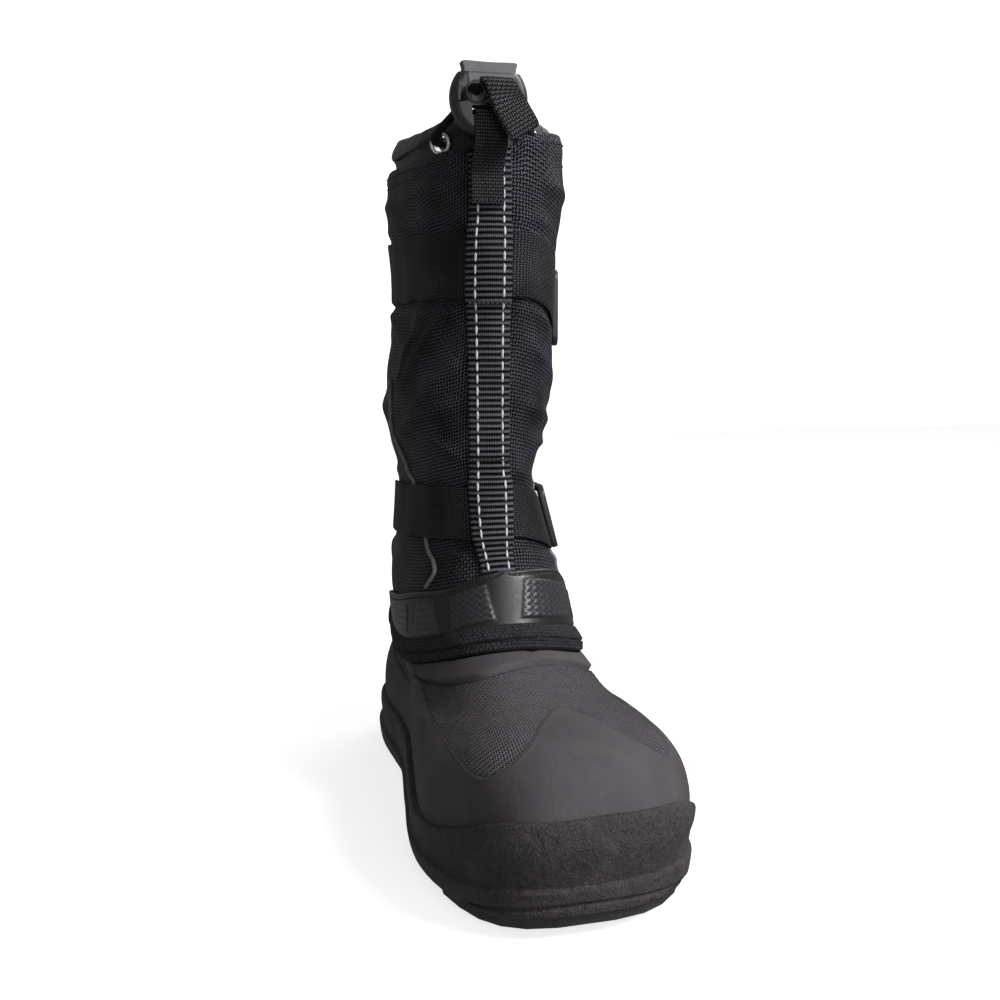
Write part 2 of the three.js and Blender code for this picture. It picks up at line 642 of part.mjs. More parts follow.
// ---------------------------------------------------------------- assembly
const finish = (color, roughness, metalness = 0) =>
  new THREE.MeshStandardMaterial({ color, roughness, metalness });
const galoshRubber = finish(0x545058, 0.6);
const soleRubber = finish(0x403c3f, 0.75);
const nylon = finish(0x1a1b20, 0.85);
const thinNylon = finish(0x202127, 0.6);
const knit = finish(0x17171b, 0.95);
const webbing = finish(0x2a292d, 0.8);
const moulded = finish(0x35353b, 0.4);
const plastic = finish(0x2b2a2f, 0.45);
const steel = finish(0xcfd0d4, 0.25, 1);
const felt = finish(0x2f2f33, 0.95);

const PIECES = [
  ["outsole", makeOutsole, soleRubber],
  ["galosh", makeGalosh, galoshRubber],
  ["insole", makeInsole, felt],
  ["shaft", makeShaft, nylon],
  ["snow_collar", makeCollar, thinNylon],
  ["ankle_roll", makeRoll, knit],
  ["ankle_guard", makeGuard, moulded],
  ["upper_strap", () => makeStrap(STRAPS.upper), webbing],
  ["lower_strap", () => makeStrap(STRAPS.lower), webbing],
  ["spine_webbing", makeSpine, webbing],
  ["upper_buckle", () => makeBuckle(STRAPS.upper), plastic],
  ["lower_buckle", () => makeBuckle(STRAPS.lower), plastic],
  ["eyelet_medial", () => makeEyelet(eyeletPlaces[0]), steel],
  ["eyelet_lateral", () => makeEyelet(eyeletPlaces[1]), steel],
  ["lock_loop", makeLoop, webbing],
  ["cord_lock_body", makeLockBody, plastic],
  ["cord_lock_button", makeLockButton, plastic],
  ["drawcord_medial", () => makeCord(-1), nylon],
  ["drawcord_lateral", () => makeCord(1), nylon],
  ["pull_tab", makeTab, webbing],
];

const boot = new THREE.Group();
for (const [name, make, material] of PIECES) {
  const mesh = new THREE.Mesh(toGeometry(make()), material);
  mesh.name = name;
  boot.add(mesh);
}

// The origin is under the middle of the boot's box, on the ground.
const bounds = new THREE.Box3().setFromObject(boot);
const centre = bounds.getCenter(new THREE.Vector3());
boot.position.set(-centre.x, -centre.y, -bounds.min.z);

export default boot;
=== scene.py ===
"""Looks of the snow boot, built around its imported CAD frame. Lengths in the tables are
millimetres, as in the CAD; everything that reaches Blender is in metres.

The boot's skin is one function of two numbers: the level, which counts the rings of
UPPER from the sole up, and the girth, which runs round a ring from 0 at the front to
0.5 at the back, positive on the lateral side and negative on the medial side."""

import math
import bpy
import bmesh
import numpy as np
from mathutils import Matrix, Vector


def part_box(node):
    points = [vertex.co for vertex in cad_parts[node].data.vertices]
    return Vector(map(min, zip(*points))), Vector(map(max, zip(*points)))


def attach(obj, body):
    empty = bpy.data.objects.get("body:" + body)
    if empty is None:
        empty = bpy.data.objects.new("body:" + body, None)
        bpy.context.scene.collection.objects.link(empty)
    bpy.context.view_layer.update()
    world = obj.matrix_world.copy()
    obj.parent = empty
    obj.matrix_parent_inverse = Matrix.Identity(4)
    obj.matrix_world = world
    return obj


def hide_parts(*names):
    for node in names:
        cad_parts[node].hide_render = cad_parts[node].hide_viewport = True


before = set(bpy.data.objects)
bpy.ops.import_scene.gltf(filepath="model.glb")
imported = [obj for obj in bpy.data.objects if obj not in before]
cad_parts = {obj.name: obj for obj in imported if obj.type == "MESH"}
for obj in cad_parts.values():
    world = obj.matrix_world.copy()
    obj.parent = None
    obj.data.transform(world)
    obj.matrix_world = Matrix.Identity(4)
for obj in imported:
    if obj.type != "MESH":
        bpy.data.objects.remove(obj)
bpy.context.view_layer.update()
MM = 0.001

# ------------------------------------------------------------------ driving sizes
SOLE_LENGTH = 290
GAP = 0.3
GALOSH_WALL = 3
SHAFT_WALL = 3
COLLAR_WALL = 1.6
WEBBING = 1.5
SPINE_WIDTH, SPINE_X = 18.5, -3.5
LOOP_WIDTH, LOOP_X, LOOP_FOOT = 15, -6, 277
INSOLE_THICKNESS = 5
TREAD = 4
RAND = 2.8
CORD = 3.8
LOCK_X, LOCK_Y, LOCK_Z, LOCK_RADIUS, LOCK_THICKNESS = -6, 1, 322, 17.5, 9
LOCK_FLAT, WELL_FLOOR, BUTTON_LOW, BUTTON_HIGH = 10.5, 4.3, 8.6, 15.6
CORD_HOLE_SIDE, CORD_HOLE_UP, CORD_HOLE_RADIUS = 6.5, 2, 3.2
EYELET_OUTER, EYELET_INNER, EYELET_UP, EYELET_REACH = 5.2, 3.6, 308, 18
TAB_WIDTH, TAB_THICKNESS, TAB_LEAN = 15, 4, 31
RIB_PITCH = 2.6
DUST = (0.2, 0.185, 0.175)
STRAP_GIRTH = 300  # about the way round the shaft
STRAP_SECTION = 36  # places round a strap's section
STITCH_SIDE, STITCH_PITCH, STITCH_LENGTH = 5.35, 5.5, 4.2
STRAPS = {
    "upper": dict(width=30, front=251, back=249, lateral=233, turn=88),
    "lower": dict(width=25, front=139, back=128, lateral=127, turn=84),
}

# The CAD's origin is under the middle of the boot, so the lock's place gives the shift.
lock_low, lock_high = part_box("cord_lock_body")
SHIFT = np.array([
    (lock_low.x + lock_high.x) / 2 - LOCK_X * MM,
    (lock_low.y + lock_high.y) / 2 - LOCK_Y * MM,
    lock_low.z - (LOCK_Z - LOCK_RADIUS) * MM,
])

# ------------------------------------------------------------------ the skin
COLUMNS = (
    "front_along", "front_up", "back_along", "back_up",
    "medial", "lateral", "dip", "tip", "foot", "square", "lean",
)
UPPER = dict(zip(COLUMNS, np.array([
    (281, 24, 5, 20, 53, 57, -4, 0, 1, 3, 0),  # 0 feather
    (284, 38, 3, 34, 54, 60, -6, 0, 1, 3, 0),  # 1 wall
    (277, 54, 2, 46, 53, 59.5, -10, 0, 1, 2.9, 0),  # 2 shoulder
    (258, 64, 3, 56, 50, 57.5, -15, 0, 1, 2.7, 0),  # 3 toe top
    (232, 67, 5, 62, 46, 54.5, -16, 0, 0.95, 2.5, 0),  # 4 toe box
    (204, 69, 7, 68, 42, 52, -17, 0, 0.85, 2.3, 0),  # 5 vamp
    (170, 79, 9, 75, 38, 48.5, -16, 0, 0.6, 2.2, 0),  # 6 rim
    (162, 89, 10, 84, 38, 46, -15, 0, 0.35, 2.2, 0),  # 7 roll top
    (152, 112, 13, 106, 37, 41.5, -12, 0, 0.1, 2.2, 0),  # 8 guard top
    (144, 126, 14, 122, 32.5, 36, -6, 0, 0, 2.2, 0),  # 9 ankle
    (139, 150, 14, 150, 29.5, 30.5, 0, 0, 0, 2.2, -1),  # 10 lower strap
    (137, 172, 12, 172, 34.5, 37, 0, 0, 0, 2.2, -1),  # 11 shin
    (137, 200, 9, 200, 36.5, 38.5, 0, 0, 0, 2.2, 1),  # 12 calf
    (138, 228, 7, 228, 34, 37, 0, 0, 0, 2.2, 3),  # 13 upper calf
    (139, 252, 6, 252, 33.5, 37.5, 0, 0, 0, 2.2, 3),  # 14 upper strap
    (140, 280, 5, 280, 37.5, 41, 0, 0, 0, 2.4, 4),  # 15 top
    (138, 303, 5, 307, 37, 39, 0, -3, 0, 2.5, 5),  # 16 edge
], float).T))
FEATHER, RIM, ROLL_TOP, EDGE = 0, 6, 7, 16
COLLAR = dict(zip(COLUMNS, np.array([
    (135.5, 290, 8.7, 292, 34.4, 36.4, 0, 0, 0, 2.45, 4.5),  # 0 seam
    (134.3, 303, 8.8, 306, 33.3, 35.3, 0, 0, 0, 2.5, 5),  # 1 shaft edge
    (133, 309, 9, 314, 35, 34, 0, 3, 0, 2.5, 4.5),  # 2 hem
    (130, 313, 12, 319, 32, 31, 0, 4, 0, 2.5, 4),  # 3 rim
], float).T))

# Foot outline from heel (0) to toe (1), as shares of a ring's half widths.
FOOT = dict(zip(("at", "medial", "lateral", "curve"), np.array([
    (0, 0.8, 0.8, 0),
    (0.15, 0.74, 0.76, 0),
    (0.35, 0.68, 0.76, 0),
    (0.55, 0.84, 0.9, 0),
    (0.72, 1, 1, 0),
    (0.86, 1, 1, -2),
    (1, 0.95, 0.97, -8),
], float).T))

# The sole's side from heel to toe: ground, top of the outsole's edge, top of the rand.
SIDE = dict(zip(("at", "ground", "edge", "rand"), np.array([
    (0, 3, 14, 27),
    (0.08, 0, 13, 28),
    (0.3, 0, 12, 29),
    (0.42, 2.5, 11, 26),
    (0.55, 0, 10, 23),
    (0.68, 0, 10, 23),
    (0.78, 0, 12, 27),
    (0.87, 1.6, 15, 36),
    (0.94, 4.2, 19.5, 44),
    (1, 7, 22, 47),
], float).T))


def mix(a, b, t):
    return a + (b - a) * t


def spread(*values):
    return np.broadcast_arrays(*(np.asarray(value, float) for value in values))


def lengths(line):
    """How far along a line each of its points is."""
    return np.concatenate([[0], np.cumsum(np.linalg.norm(np.diff(line, axis=0), axis=1))])


def at_lengths(line, length, places):
    """Points or directions of a line at given lengths along it."""
    return np.stack([np.interp(places, length, line[:, k]) for k in range(3)], -1)


def turns(count):
    """Even angles all round, in radians."""
    return np.linspace(0, 2 * math.pi, count, endpoint=False)


def bulge(value, power):
    return np.sign(value) * np.abs(value) ** power


def smooth(value, low, high):
    t = np.clip((value - low) / (high - low), 0, 1)
    return t * t * (3 - 2 * t)


def column(rows, name, level):
    """Catmull-Rom through one column, at real row numbers."""
    values = rows[name]
    i = np.clip(np.floor(level).astype(int), 0, len(values) - 2)
    t = level - i
    a, b, c, d = (values[np.clip(i + k, 0, len(values) - 1)] for k in (-1, 0, 1, 2))
    return b + 0.5 * t * (c - a + t * (2 * a - 5 * b + 4 * c - d + t * (3 * (b - c) + d - a)))


def look_up(rows, name, at):
    places = rows["at"]
    i = np.clip(np.searchsorted(places, at, side="right") - 1, 0, len(places) - 2)
    return column(rows, name, i + (at - places[i]) / (places[i + 1] - places[i]))


def ring_point(rows, level, turn):
    """Points of the skin in millimetres; turn is in degrees, 0 front and 90 lateral."""
    level, turn = spread(level, turn)
    get = {name: column(rows, name, level) for name in COLUMNS}
    angle = np.radians(turn)
    power = 2 / get["square"]
    share = (1 + bulge(np.cos(angle), power)) / 2
    side = bulge(np.sin(angle), power)
    lateral = side > 0
    width = np.where(lateral, get["lateral"], get["medial"])
    outline = np.where(lateral, look_up(FOOT, "lateral", share), look_up(FOOT, "medial", share))
    bend = get["foot"] * look_up(FOOT, "curve", share) + get["lean"]
    x = side * width * mix(1, outline, get["foot"]) + bend
    along = mix(get["back_along"], get["front_along"], share)
    arch = get["dip"] * 4 * share * (1 - share) - get["tip"] * side
    up = mix(get["back_up"], get["front_up"], share) + arch
    return np.stack([x, SOLE_LENGTH / 2 - along, up], -1)


def unit(vectors):
    return vectors / np.maximum(np.linalg.norm(vectors, axis=-1, keepdims=True), 1e-12)


def outward(rows, level, turn):
    """The outward direction of the skin."""
    level, turn = spread(level, turn)
    top = len(rows["lean"]) - 1
    around = ring_point(rows, level, turn + 1) - ring_point(rows, level, turn - 1)
    low, high = np.maximum(level - 0.04, 0), np.minimum(level + 0.04, top)
    rise = ring_point(rows, high, turn) - ring_point(rows, low, turn)
    return unit(np.cross(around, rise))


def girth_table(rows):
    """Turns at even girths, for every quarter level."""
    levels = np.arange(0, len(rows["lean"]) - 1 + 1e-9, 0.25)
    fine = np.linspace(0, 180, 721)
    even = np.linspace(0, 1, 91)
    table = []
    for level in levels:
        half = []
        for hand in (1, -1):
            points = ring_point(rows, level, fine * hand)
            length = lengths(points)
            half.append(np.interp(even, length / length[-1], fine) * hand)
        table.append(np.concatenate([half[1][::-1], half[0][1:]]))
    return np.array(table)


GIRTHS = {id(rows): girth_table(rows) for rows in (UPPER, COLLAR)}


def turn_of(rows, level, girth):
    """The turn of a place round the ring; girth runs from -0.5 to 0.5."""
    table = GIRTHS[id(rows)]
    level, girth = spread(level, girth)
    row = np.clip(level * 4, 0, len(table) - 1.001)
    cell = np.clip((girth + 0.5) * (table.shape[1] - 1), 0, table.shape[1] - 1.001)
    i, j = row.astype(int), cell.astype(int)
    s, t = row - i, cell - j
    low = mix(table[i, j], table[i, j + 1], t)
    high = mix(table[i + 1, j], table[i + 1, j + 1], t)
    return mix(low, high, s)


def skin(rows, level, girth, offset=0.0):
    """Points in millimetres at an offset from the skin."""
    turn = turn_of(rows, level, girth)
    return ring_point(rows, level, turn) + outward(rows, level, turn) * np.asarray(offset)[..., None]


def solve(measure, target, low, high):
    """Halves the spans until measure gives target; it rises from low to high."""
    low, high = spread(low, high)
    for _ in range(26):
        middle = (low + high) / 2
        under = measure(middle) < target
        low, high = np.where(under, middle, low), np.where(under, high, middle)
    return (low + high) / 2


def level_at(height, girth, low=0, high=EDGE):
    girth, height = spread(girth, height)
    return solve(lambda level: skin(UPPER, level, girth)[..., 2], height, np.full(girth.shape, low), high)


def girth_at(level, x):
    """The place on the front where the upper's skin is at this x."""
    level, x = spread(level, x)
    return solve(lambda girth: skin(UPPER, level, girth)[..., 0], x, np.full(x.shape, -0.2), 0.2)


def side_height(name, points):
    return look_up(SIDE, name, np.clip((SOLE_LENGTH / 2 - points[..., 1]) / SOLE_LENGTH, 0, 1))


def curve_of(places, values):
    """A smooth curve through (place, value) pairs, level beyond both ends."""
    table = {"value": np.array(values, float)}
    places = np.array(places, float)

    def at(place):
        place = np.clip(place, places[0], places[-1])
        i = np.clip(np.searchsorted(places, place, side="right") - 1, 0, len(places) - 2)
        return column(table, "value", i + (place - places[i]) / (places[i + 1] - places[i]))

    return at


def sweep(points, count):
    """Even steps along a Catmull-Rom line through points."""
    points = np.array(points, float)
    table = {"x": points[:, 0], "y": points[:, 1], "z": points[:, 2]}
    fine = np.linspace(0, len(points) - 1, 40 * len(points))
    line = np.stack([column(table, axis, fine) for axis in "xyz"], -1)
    length = lengths(line)
    return at_lengths(line, length, np.linspace(0, length[-1], count))


def fold(level, girth, spots):
    """Soft ridges and creases: (level, girth, half length, half width, slope, height)."""
    total = 0
    for at_level, at_girth, length, width, slope, height in spots:
        du, dv = (girth - at_girth) * 10, level - at_level
        along, across = du * np.cos(slope) + dv * np.sin(slope), dv * np.cos(slope) - du * np.sin(slope)
        total = total + height * np.exp(-((along / length) ** 2) - np.abs(across / width) ** 1.6)
    return total


# ------------------------------------------------------------------ meshes
def link(name, data):
    """A new object in the scene."""
    piece = bpy.data.objects.new(name, data)
    bpy.context.scene.collection.objects.link(piece)
    return piece


def loft(name, loops, uv=None, wrap=False, mask=None, levels=0):
    """A closed mesh through loops (rows, places, 3); wrap joins the last row to the first.
    The UVs have a place more than the loops, and may have a row more."""
    rows, count = loops.shape[:2]
    i, j = np.meshgrid(np.arange(rows if wrap else rows - 1), np.arange(count), indexing="ij")
    i, j = i.ravel(), j.ravel()
    up, over = (i + 1) % rows, (j + 1) % count
    faces = np.stack([i * count + j, i * count + over, up * count + over, up * count + j], -1).tolist()
    if not wrap:
        faces.append(list(range(count))[::-1])
        faces.append([(rows - 1) * count + k for k in range(count)])
    mesh = bpy.data.meshes.new(name)
    mesh.from_pydata((loops.reshape(-1, 3) * MM + SHIFT).tolist(), [], faces)
    if uv is None:
        uv = surface_uv(loops)
    ahead = i + 1 if len(uv) > rows else up
    corners = np.stack([uv[i, j], uv[i, j + 1], uv[ahead, j + 1], uv[ahead, j]], 1).reshape(-1, 2)
    layer = mesh.uv_layers.new(name="along")
    flat = np.zeros((len(mesh.loops), 2))
    flat[: len(corners)] = corners
    layer.data.foreach_set("uv", flat.ravel())
    if mask is not None:
        mesh.attributes.new("mask", "FLOAT", "POINT").data.foreach_set("value", mask.ravel())
    mesh.shade_smooth()
    piece = link(name, mesh)
    if levels:
        modifier = piece.modifiers.new("round", "SUBSURF")
        modifier.levels = modifier.render_levels = levels
    return piece


def surface_uv(loops):
    """Metres round and metres up, so a weave keeps its size."""
    around = np.linalg.norm(np.diff(np.concatenate([loops, loops[:, :1]], 1), axis=1), axis=-1)
    u = np.concatenate([[0], np.cumsum(around.mean(0))]) * MM
    rise = np.linalg.norm(np.diff(loops, axis=0), axis=-1)
    v = np.concatenate([np.zeros((1, loops.shape[1])), np.cumsum(rise, 0)]) * MM
    v = np.concatenate([v, v[:, :1]], 1)
    return np.stack([np.broadcast_to(u, v.shape), v], -1)


def given(value, girth, *places):
    """A function's value at some places, or a number for each girth."""
    return value(*places) if callable(value) else value + 0 * girth


def shell(name, rows, low, high, outer, inner, count, edge=6, mask=None):
    """A wall all round the boot. The levels of its ends are functions of girth, and its
    offsets are functions of (level, girth, share). Count is its shares, or how many there
    are, and its places round the boot. The inner side has a quarter of the shares."""
    girth = np.linspace(-0.5, 0.5, count[1], endpoint=False)
    share = np.linspace(0, 1, count[0]) if np.isscalar(count[0]) else count[0]
    under = np.unique(np.append(share[::4], share[-1]))[::-1, None]
    share = share[:, None]
    low, high = (given(end, girth, girth) for end in (low, high))
    level, low_level = (mix(low, high, part) for part in (share, under))
    out = skin(rows, level, girth, given(outer, level, level, girth, share))
    back = skin(rows, low_level, girth, given(inner, low_level, low_level, girth, under))
    edges = []
    for t in np.linspace(0, math.pi, edge + 2)[1:-1]:
        middle, half = (out[-1] + back[0]) / 2, (out[-1] - back[0]) / 2
        rise = unit(out[-1] - out[-3]) * np.linalg.norm(half, axis=-1, keepdims=True)
        edges.append(middle + half * math.cos(t) + rise * math.sin(t) * 0.8)
    if mask is not None:
        hidden = np.zeros((edge + len(back), count[1]))
        mask = np.concatenate([mask(level, girth) + 0 * out[..., 0], hidden])
    return loft(name, np.concatenate([out, edges, back]), wrap=True, mask=mask)


def turned(uv):
    """Places on a webbing for loops wound the other way."""
    back = uv[:, -2::-1]
    return np.concatenate([back, back[:, :1]], 1)


def section(places, side, face):
    """A webbing's section, from -1 to 1 across and through it."""
    t = turns(places)
    return bulge(np.cos(t), side), bulge(np.sin(t), face)


def ribbon(name, middle, across, normal, width, thickness, closed=False, places=28, relief=None, lap=0.45):
    """A webbing along a line, with rounded edges; relief(along, side) lifts its face."""
    a, b = section(places, 0.35, lap)
    along = lengths(middle)[:, None]
    side = a[None] * width / 2
    lift = b[None] * thickness / 2
    if relief is not None:
        lift = lift + np.where(b > 0.5, 1, 0)[None] * relief(along, side)
    loops = middle[:, None] + across[:, None] * side[..., None] + normal[:, None] * lift[..., None]
    v = np.broadcast_to(along, (len(middle), places + 1)) * MM
    u = np.broadcast_to(np.append(a, a[0]) * width / 2, v.shape) * MM
    return loft(name, loops[:, ::-1], uv=turned(np.stack([u, v], -1)), wrap=closed)


def tube(name, line, radius, places=16):
    """A round cord along a line of points."""
    tangent = unit(np.gradient(line, axis=0))
    side = unit(np.cross(tangent[0], [0.3, 0.5, 0.8]))
    sides = []
    for t in tangent:
        side = unit(side - t * (side @ t))
        sides.append(side)
    sides = np.array(sides)
    other = np.cross(tangent, sides)
    angle = turns(places)
    loops = line[:, None] + sides[:, None] * (np.cos(angle) * radius)[..., None]
    return loft(name, loops + other[:, None] * (np.sin(angle) * radius)[..., None])


def join(name, pieces):
    """One object from several."""
    mesh = bmesh.new()
    for piece in pieces:
        mesh.from_mesh(piece.data)
    data = bpy.data.meshes.new(name)
    mesh.to_mesh(data)
    mesh.free()
    data.shade_smooth()
    for piece in pieces:
        bpy.data.objects.remove(piece)
    return link(name, data)


def settle(piece, look, nodes=(), body="root"):
    piece.data.materials.clear()
    piece.data.materials.append(look)
    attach(piece, body)
    if nodes:
        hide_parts(*nodes)
    return piece


# ------------------------------------------------------------------ looks
class Look:
    """A node material, with short names for the nodes it needs."""

    def __init__(self, name, colour, roughness, metallic=0.0, specular=0.5):
        self.material = bpy.data.materials.new(name)
        self.material.use_nodes = True
        self.tree = self.material.node_tree
        self.shader = self.tree.nodes["Principled BSDF"]
        self.place = self.node("TexCoord").outputs["Object"]
        self.along = self.node("UVMap").outputs["UV"]
        self.set("Base Color", (*colour, 1))
        self.set("Roughness", roughness)
        self.set("Metallic", metallic)
        self.set("Specular IOR Level", specular)
        self.colour = colour

    def set(self, socket, value):
        self.feed(self.shader.inputs[socket], value)

    def feed(self, socket, value):
        """Sets a socket to a number or colour, or links another node's output to it."""
        if isinstance(value, bpy.types.NodeSocket):
            self.tree.links.new(value, socket)
        else:
            socket.default_value = value

    def node(self, kind, **inputs):
        node = self.tree.nodes.new("ShaderNode" + kind)
        for name, value in inputs.items():
            self.feed(node.inputs[name.replace("_", " ")], value)
        return node

    def math(self, operation, a, b=0.0, clamp=False):
        node = self.node("Math")
        node.operation = operation
        node.use_clamp = clamp
        self.feed(node.inputs[0], a)
        self.feed(node.inputs[1], b)
        return node.outputs[0]

    def times(self, a, b, clamp=False):
        return self.math("MULTIPLY", a, b, clamp)

    def plus(self, a, b):
        return self.math("ADD", a, b)

    def power(self, a, b):
        return self.math("POWER", a, b)

    def noise(self, scale, detail=3.0):
        return self.node("TexNoise", Scale=scale, Detail=detail, Vector=self.place).outputs["Fac"]

    def cells(self, scale):
        """Small rounded cells, low at their edges."""
        node = self.node("TexVoronoi")
        node.feature = "DISTANCE_TO_EDGE"
        self.feed(node.inputs["Scale"], scale)
        self.feed(node.inputs["Vector"], self.place)
        return self.times(node.outputs["Distance"], 4.0, True)

    def mask(self):
        node = self.node("Attribute")
        node.attribute_name = "mask"
        return node.outputs["Fac"]

    def stripes(self, pitch, axis=1):
        place = self.node("SeparateXYZ", Vector=self.along).outputs[axis]
        return self.math("ABSOLUTE", self.math("SINE", self.times(place, math.pi / pitch)))

    def thread(self, pitch, stretch=1.0, slanted=False):
        """Two sets of half rounds, over and under each other like a plain weave."""
        parts = self.node("SeparateXYZ", Vector=self.along)
        u = self.math("DIVIDE", parts.outputs[0], pitch)
        v = self.math("DIVIDE", parts.outputs[1], pitch * stretch)
        if slanted:
            u, v = self.plus(u, v), self.math("SUBTRACT", u, v)
        cells = self.plus(self.math("FLOOR", u), self.math("FLOOR", v))
        odd = self.math("ABSOLUTE", self.math("MODULO", cells, 2.0))
        rounds = [self.math("ABSOLUTE", self.math("SINE", self.times(way, math.pi))) for way in (u, v)]
        warp = self.times(self.power(rounds[0], 0.6), odd)
        weft = self.times(self.power(rounds[1], 0.6), self.math("SUBTRACT", 1.0, odd))
        return self.plus(warp, weft)

    def tint(self, factor, low, high, span=(0.3, 0.7)):
        """Colour between two multiples of the base, by a factor."""
        ramp = self.node("ValToRGB", Fac=factor)
        for element, position, times in zip(ramp.color_ramp.elements, span, (low, high)):
            element.position = position
            element.color = (*(min(c * times, 1) for c in self.colour), 1)
        return ramp.outputs[0]

    def shade(self, times):
        return tuple(c * times for c in self.colour)

    def blend(self, factor, a, b):
        node = self.node("Mix")
        node.data_type = "RGBA"
        self.feed(node.inputs["Factor"], factor)
        for socket, value in ((node.inputs[6], a), (node.inputs[7], b)):
            self.feed(socket, (*value, 1) if isinstance(value, tuple) else value)
        return node.outputs[2]

    def paint(self, colour):
        self.set("Base Color", colour)

    def dull(self, factor, low, high):
        """Roughness between two values, by a factor."""
        self.set("Roughness", self.node("MapRange", Value=factor, To_Min=low, To_Max=high).outputs[0])

    def bump(self, *layers):
        """Relief from (height, millimetres) layers."""
        normal = None
        for height, depth in layers:
            node = self.node("Bump", Strength=1.0, Distance=depth * MM, Height=height)
            if normal:
                self.feed(node.inputs["Normal"], normal)
            normal = node.outputs[0]
        self.set("Normal", normal)
        return self.material


def rubber(name, colour, roughness, grain, relief, dusty, woven=False):
    """Moulded rubber with grain, pale dust and dark spots of painted shade for its pits; woven adds a knit
    where the mask is, with painted shade between its threads and painted highlights on their tops.
    """
    look = Look(name, colour, roughness, specular=0.28)
    base = look.tint(look.noise(28, 5), 0.82, 1.18)
    dust = look.times(look.math("GREATER_THAN", look.noise(520, 3), 0.71), dusty * 0.5, True)
    smear = look.times(look.power(look.noise(48, 8), 6.0), dusty * 4, True)
    # Painted shade: dark spots by a noise stand in for the shade inside small pits.
    pit_shade = look.times(look.power(look.noise(grain * 2.4, 4), 4.0), relief * 2.4, True)
    base = look.blend(pit_shade, base, look.shade(0.35))
    base = look.blend(look.math("MAXIMUM", dust, smear), base, DUST)
    look.dull(look.noise(45, 5), roughness - 0.1, roughness + 0.15)
    layers = [(look.noise(grain, 7), relief), (look.cells(grain * 4.5), relief * 0.16)]
    layers.append((look.noise(3200, 2), 0.04))
    if woven:
        knit = look.times(look.thread(0.0012, 1.2), look.mask())
        # Painted shade darkens the knit between its threads, and painted highlights, patchy by a noise,
        # light the tops of its threads.
        dark = look.blend(look.mask(), base, look.shade(0.28))
        knit_highlight = look.times(look.power(knit, 2.5), look.plus(look.noise(110, 4), 0.3))
        base = look.blend(look.times(knit_highlight, 1.6, True), dark, look.shade(1.9))
        layers.append((knit, 0.9))
    look.paint(base)
    return look.bump(*layers)


def nylon(name, colour, pitch, lift, stretch=1.0, depth=0.35, gloss=0.55, specular=0.15):
    """Woven thread: painted shade between the crossings and painted highlights on top of them, lit in
    patches by a noise.
    """
    look = Look(name, colour, gloss, specular=specular)
    weave = look.thread(pitch, stretch)
    # Painted highlights on the thread tops, in patches by a noise; between them a darker painted shade.
    painted_highlights = look.times(look.power(weave, 5.0), look.times(look.noise(34, 3), 1.6))
    look.paint(look.tint(painted_highlights, 0.6, lift, (0.25, 1.1)))
    look.dull(look.noise(30, 3), gloss - 0.08, gloss + 0.12)
    return look.bump((look.noise(300, 3), 0.2), (weave, depth))


def ribbed(name, colour):
    """Webbing with raised bars across it, with painted shade in the valleys and painted highlights on the
    bars' tops, dotted along rows of threads.
    """
    look = Look(name, colour, 0.5, specular=0.12)
    bars, threads = look.stripes(RIB_PITCH * MM), look.stripes(0.0008, 0)
    # Painted highlights on the bars' tops and their threads, in patches by a noise; painted shade in the
    # valleys between.
    painted_highlights = look.times(look.power(bars, 3.0), look.plus(threads, 0.25))
    painted_highlights = look.times(painted_highlights, look.plus(look.noise(60, 4), 0.45))
    look.paint(look.tint(painted_highlights, 0.35, 24, (0.12, 1.3)))
    return look.bump((look.noise(700, 3), 0.15), (bars, 0.35), (threads, 0.15))


def mottled(name, colour, roughness, grain, tints, relief, uneven=False, specular=0.5):
    """A plain look whose colour varies with a noise; grain and relief are (scale, detail)
    and (scale, detail, millimetres). Uneven varies the roughness too."""
    look = Look(name, colour, roughness, specular=specular)
    look.paint(look.tint(look.noise(*grain), *tints))
    if uneven:
        look.dull(look.noise(140, 4), roughness - 0.08, roughness + 0.12)
    return look.bump((look.noise(*relief[:2]), relief[2]))


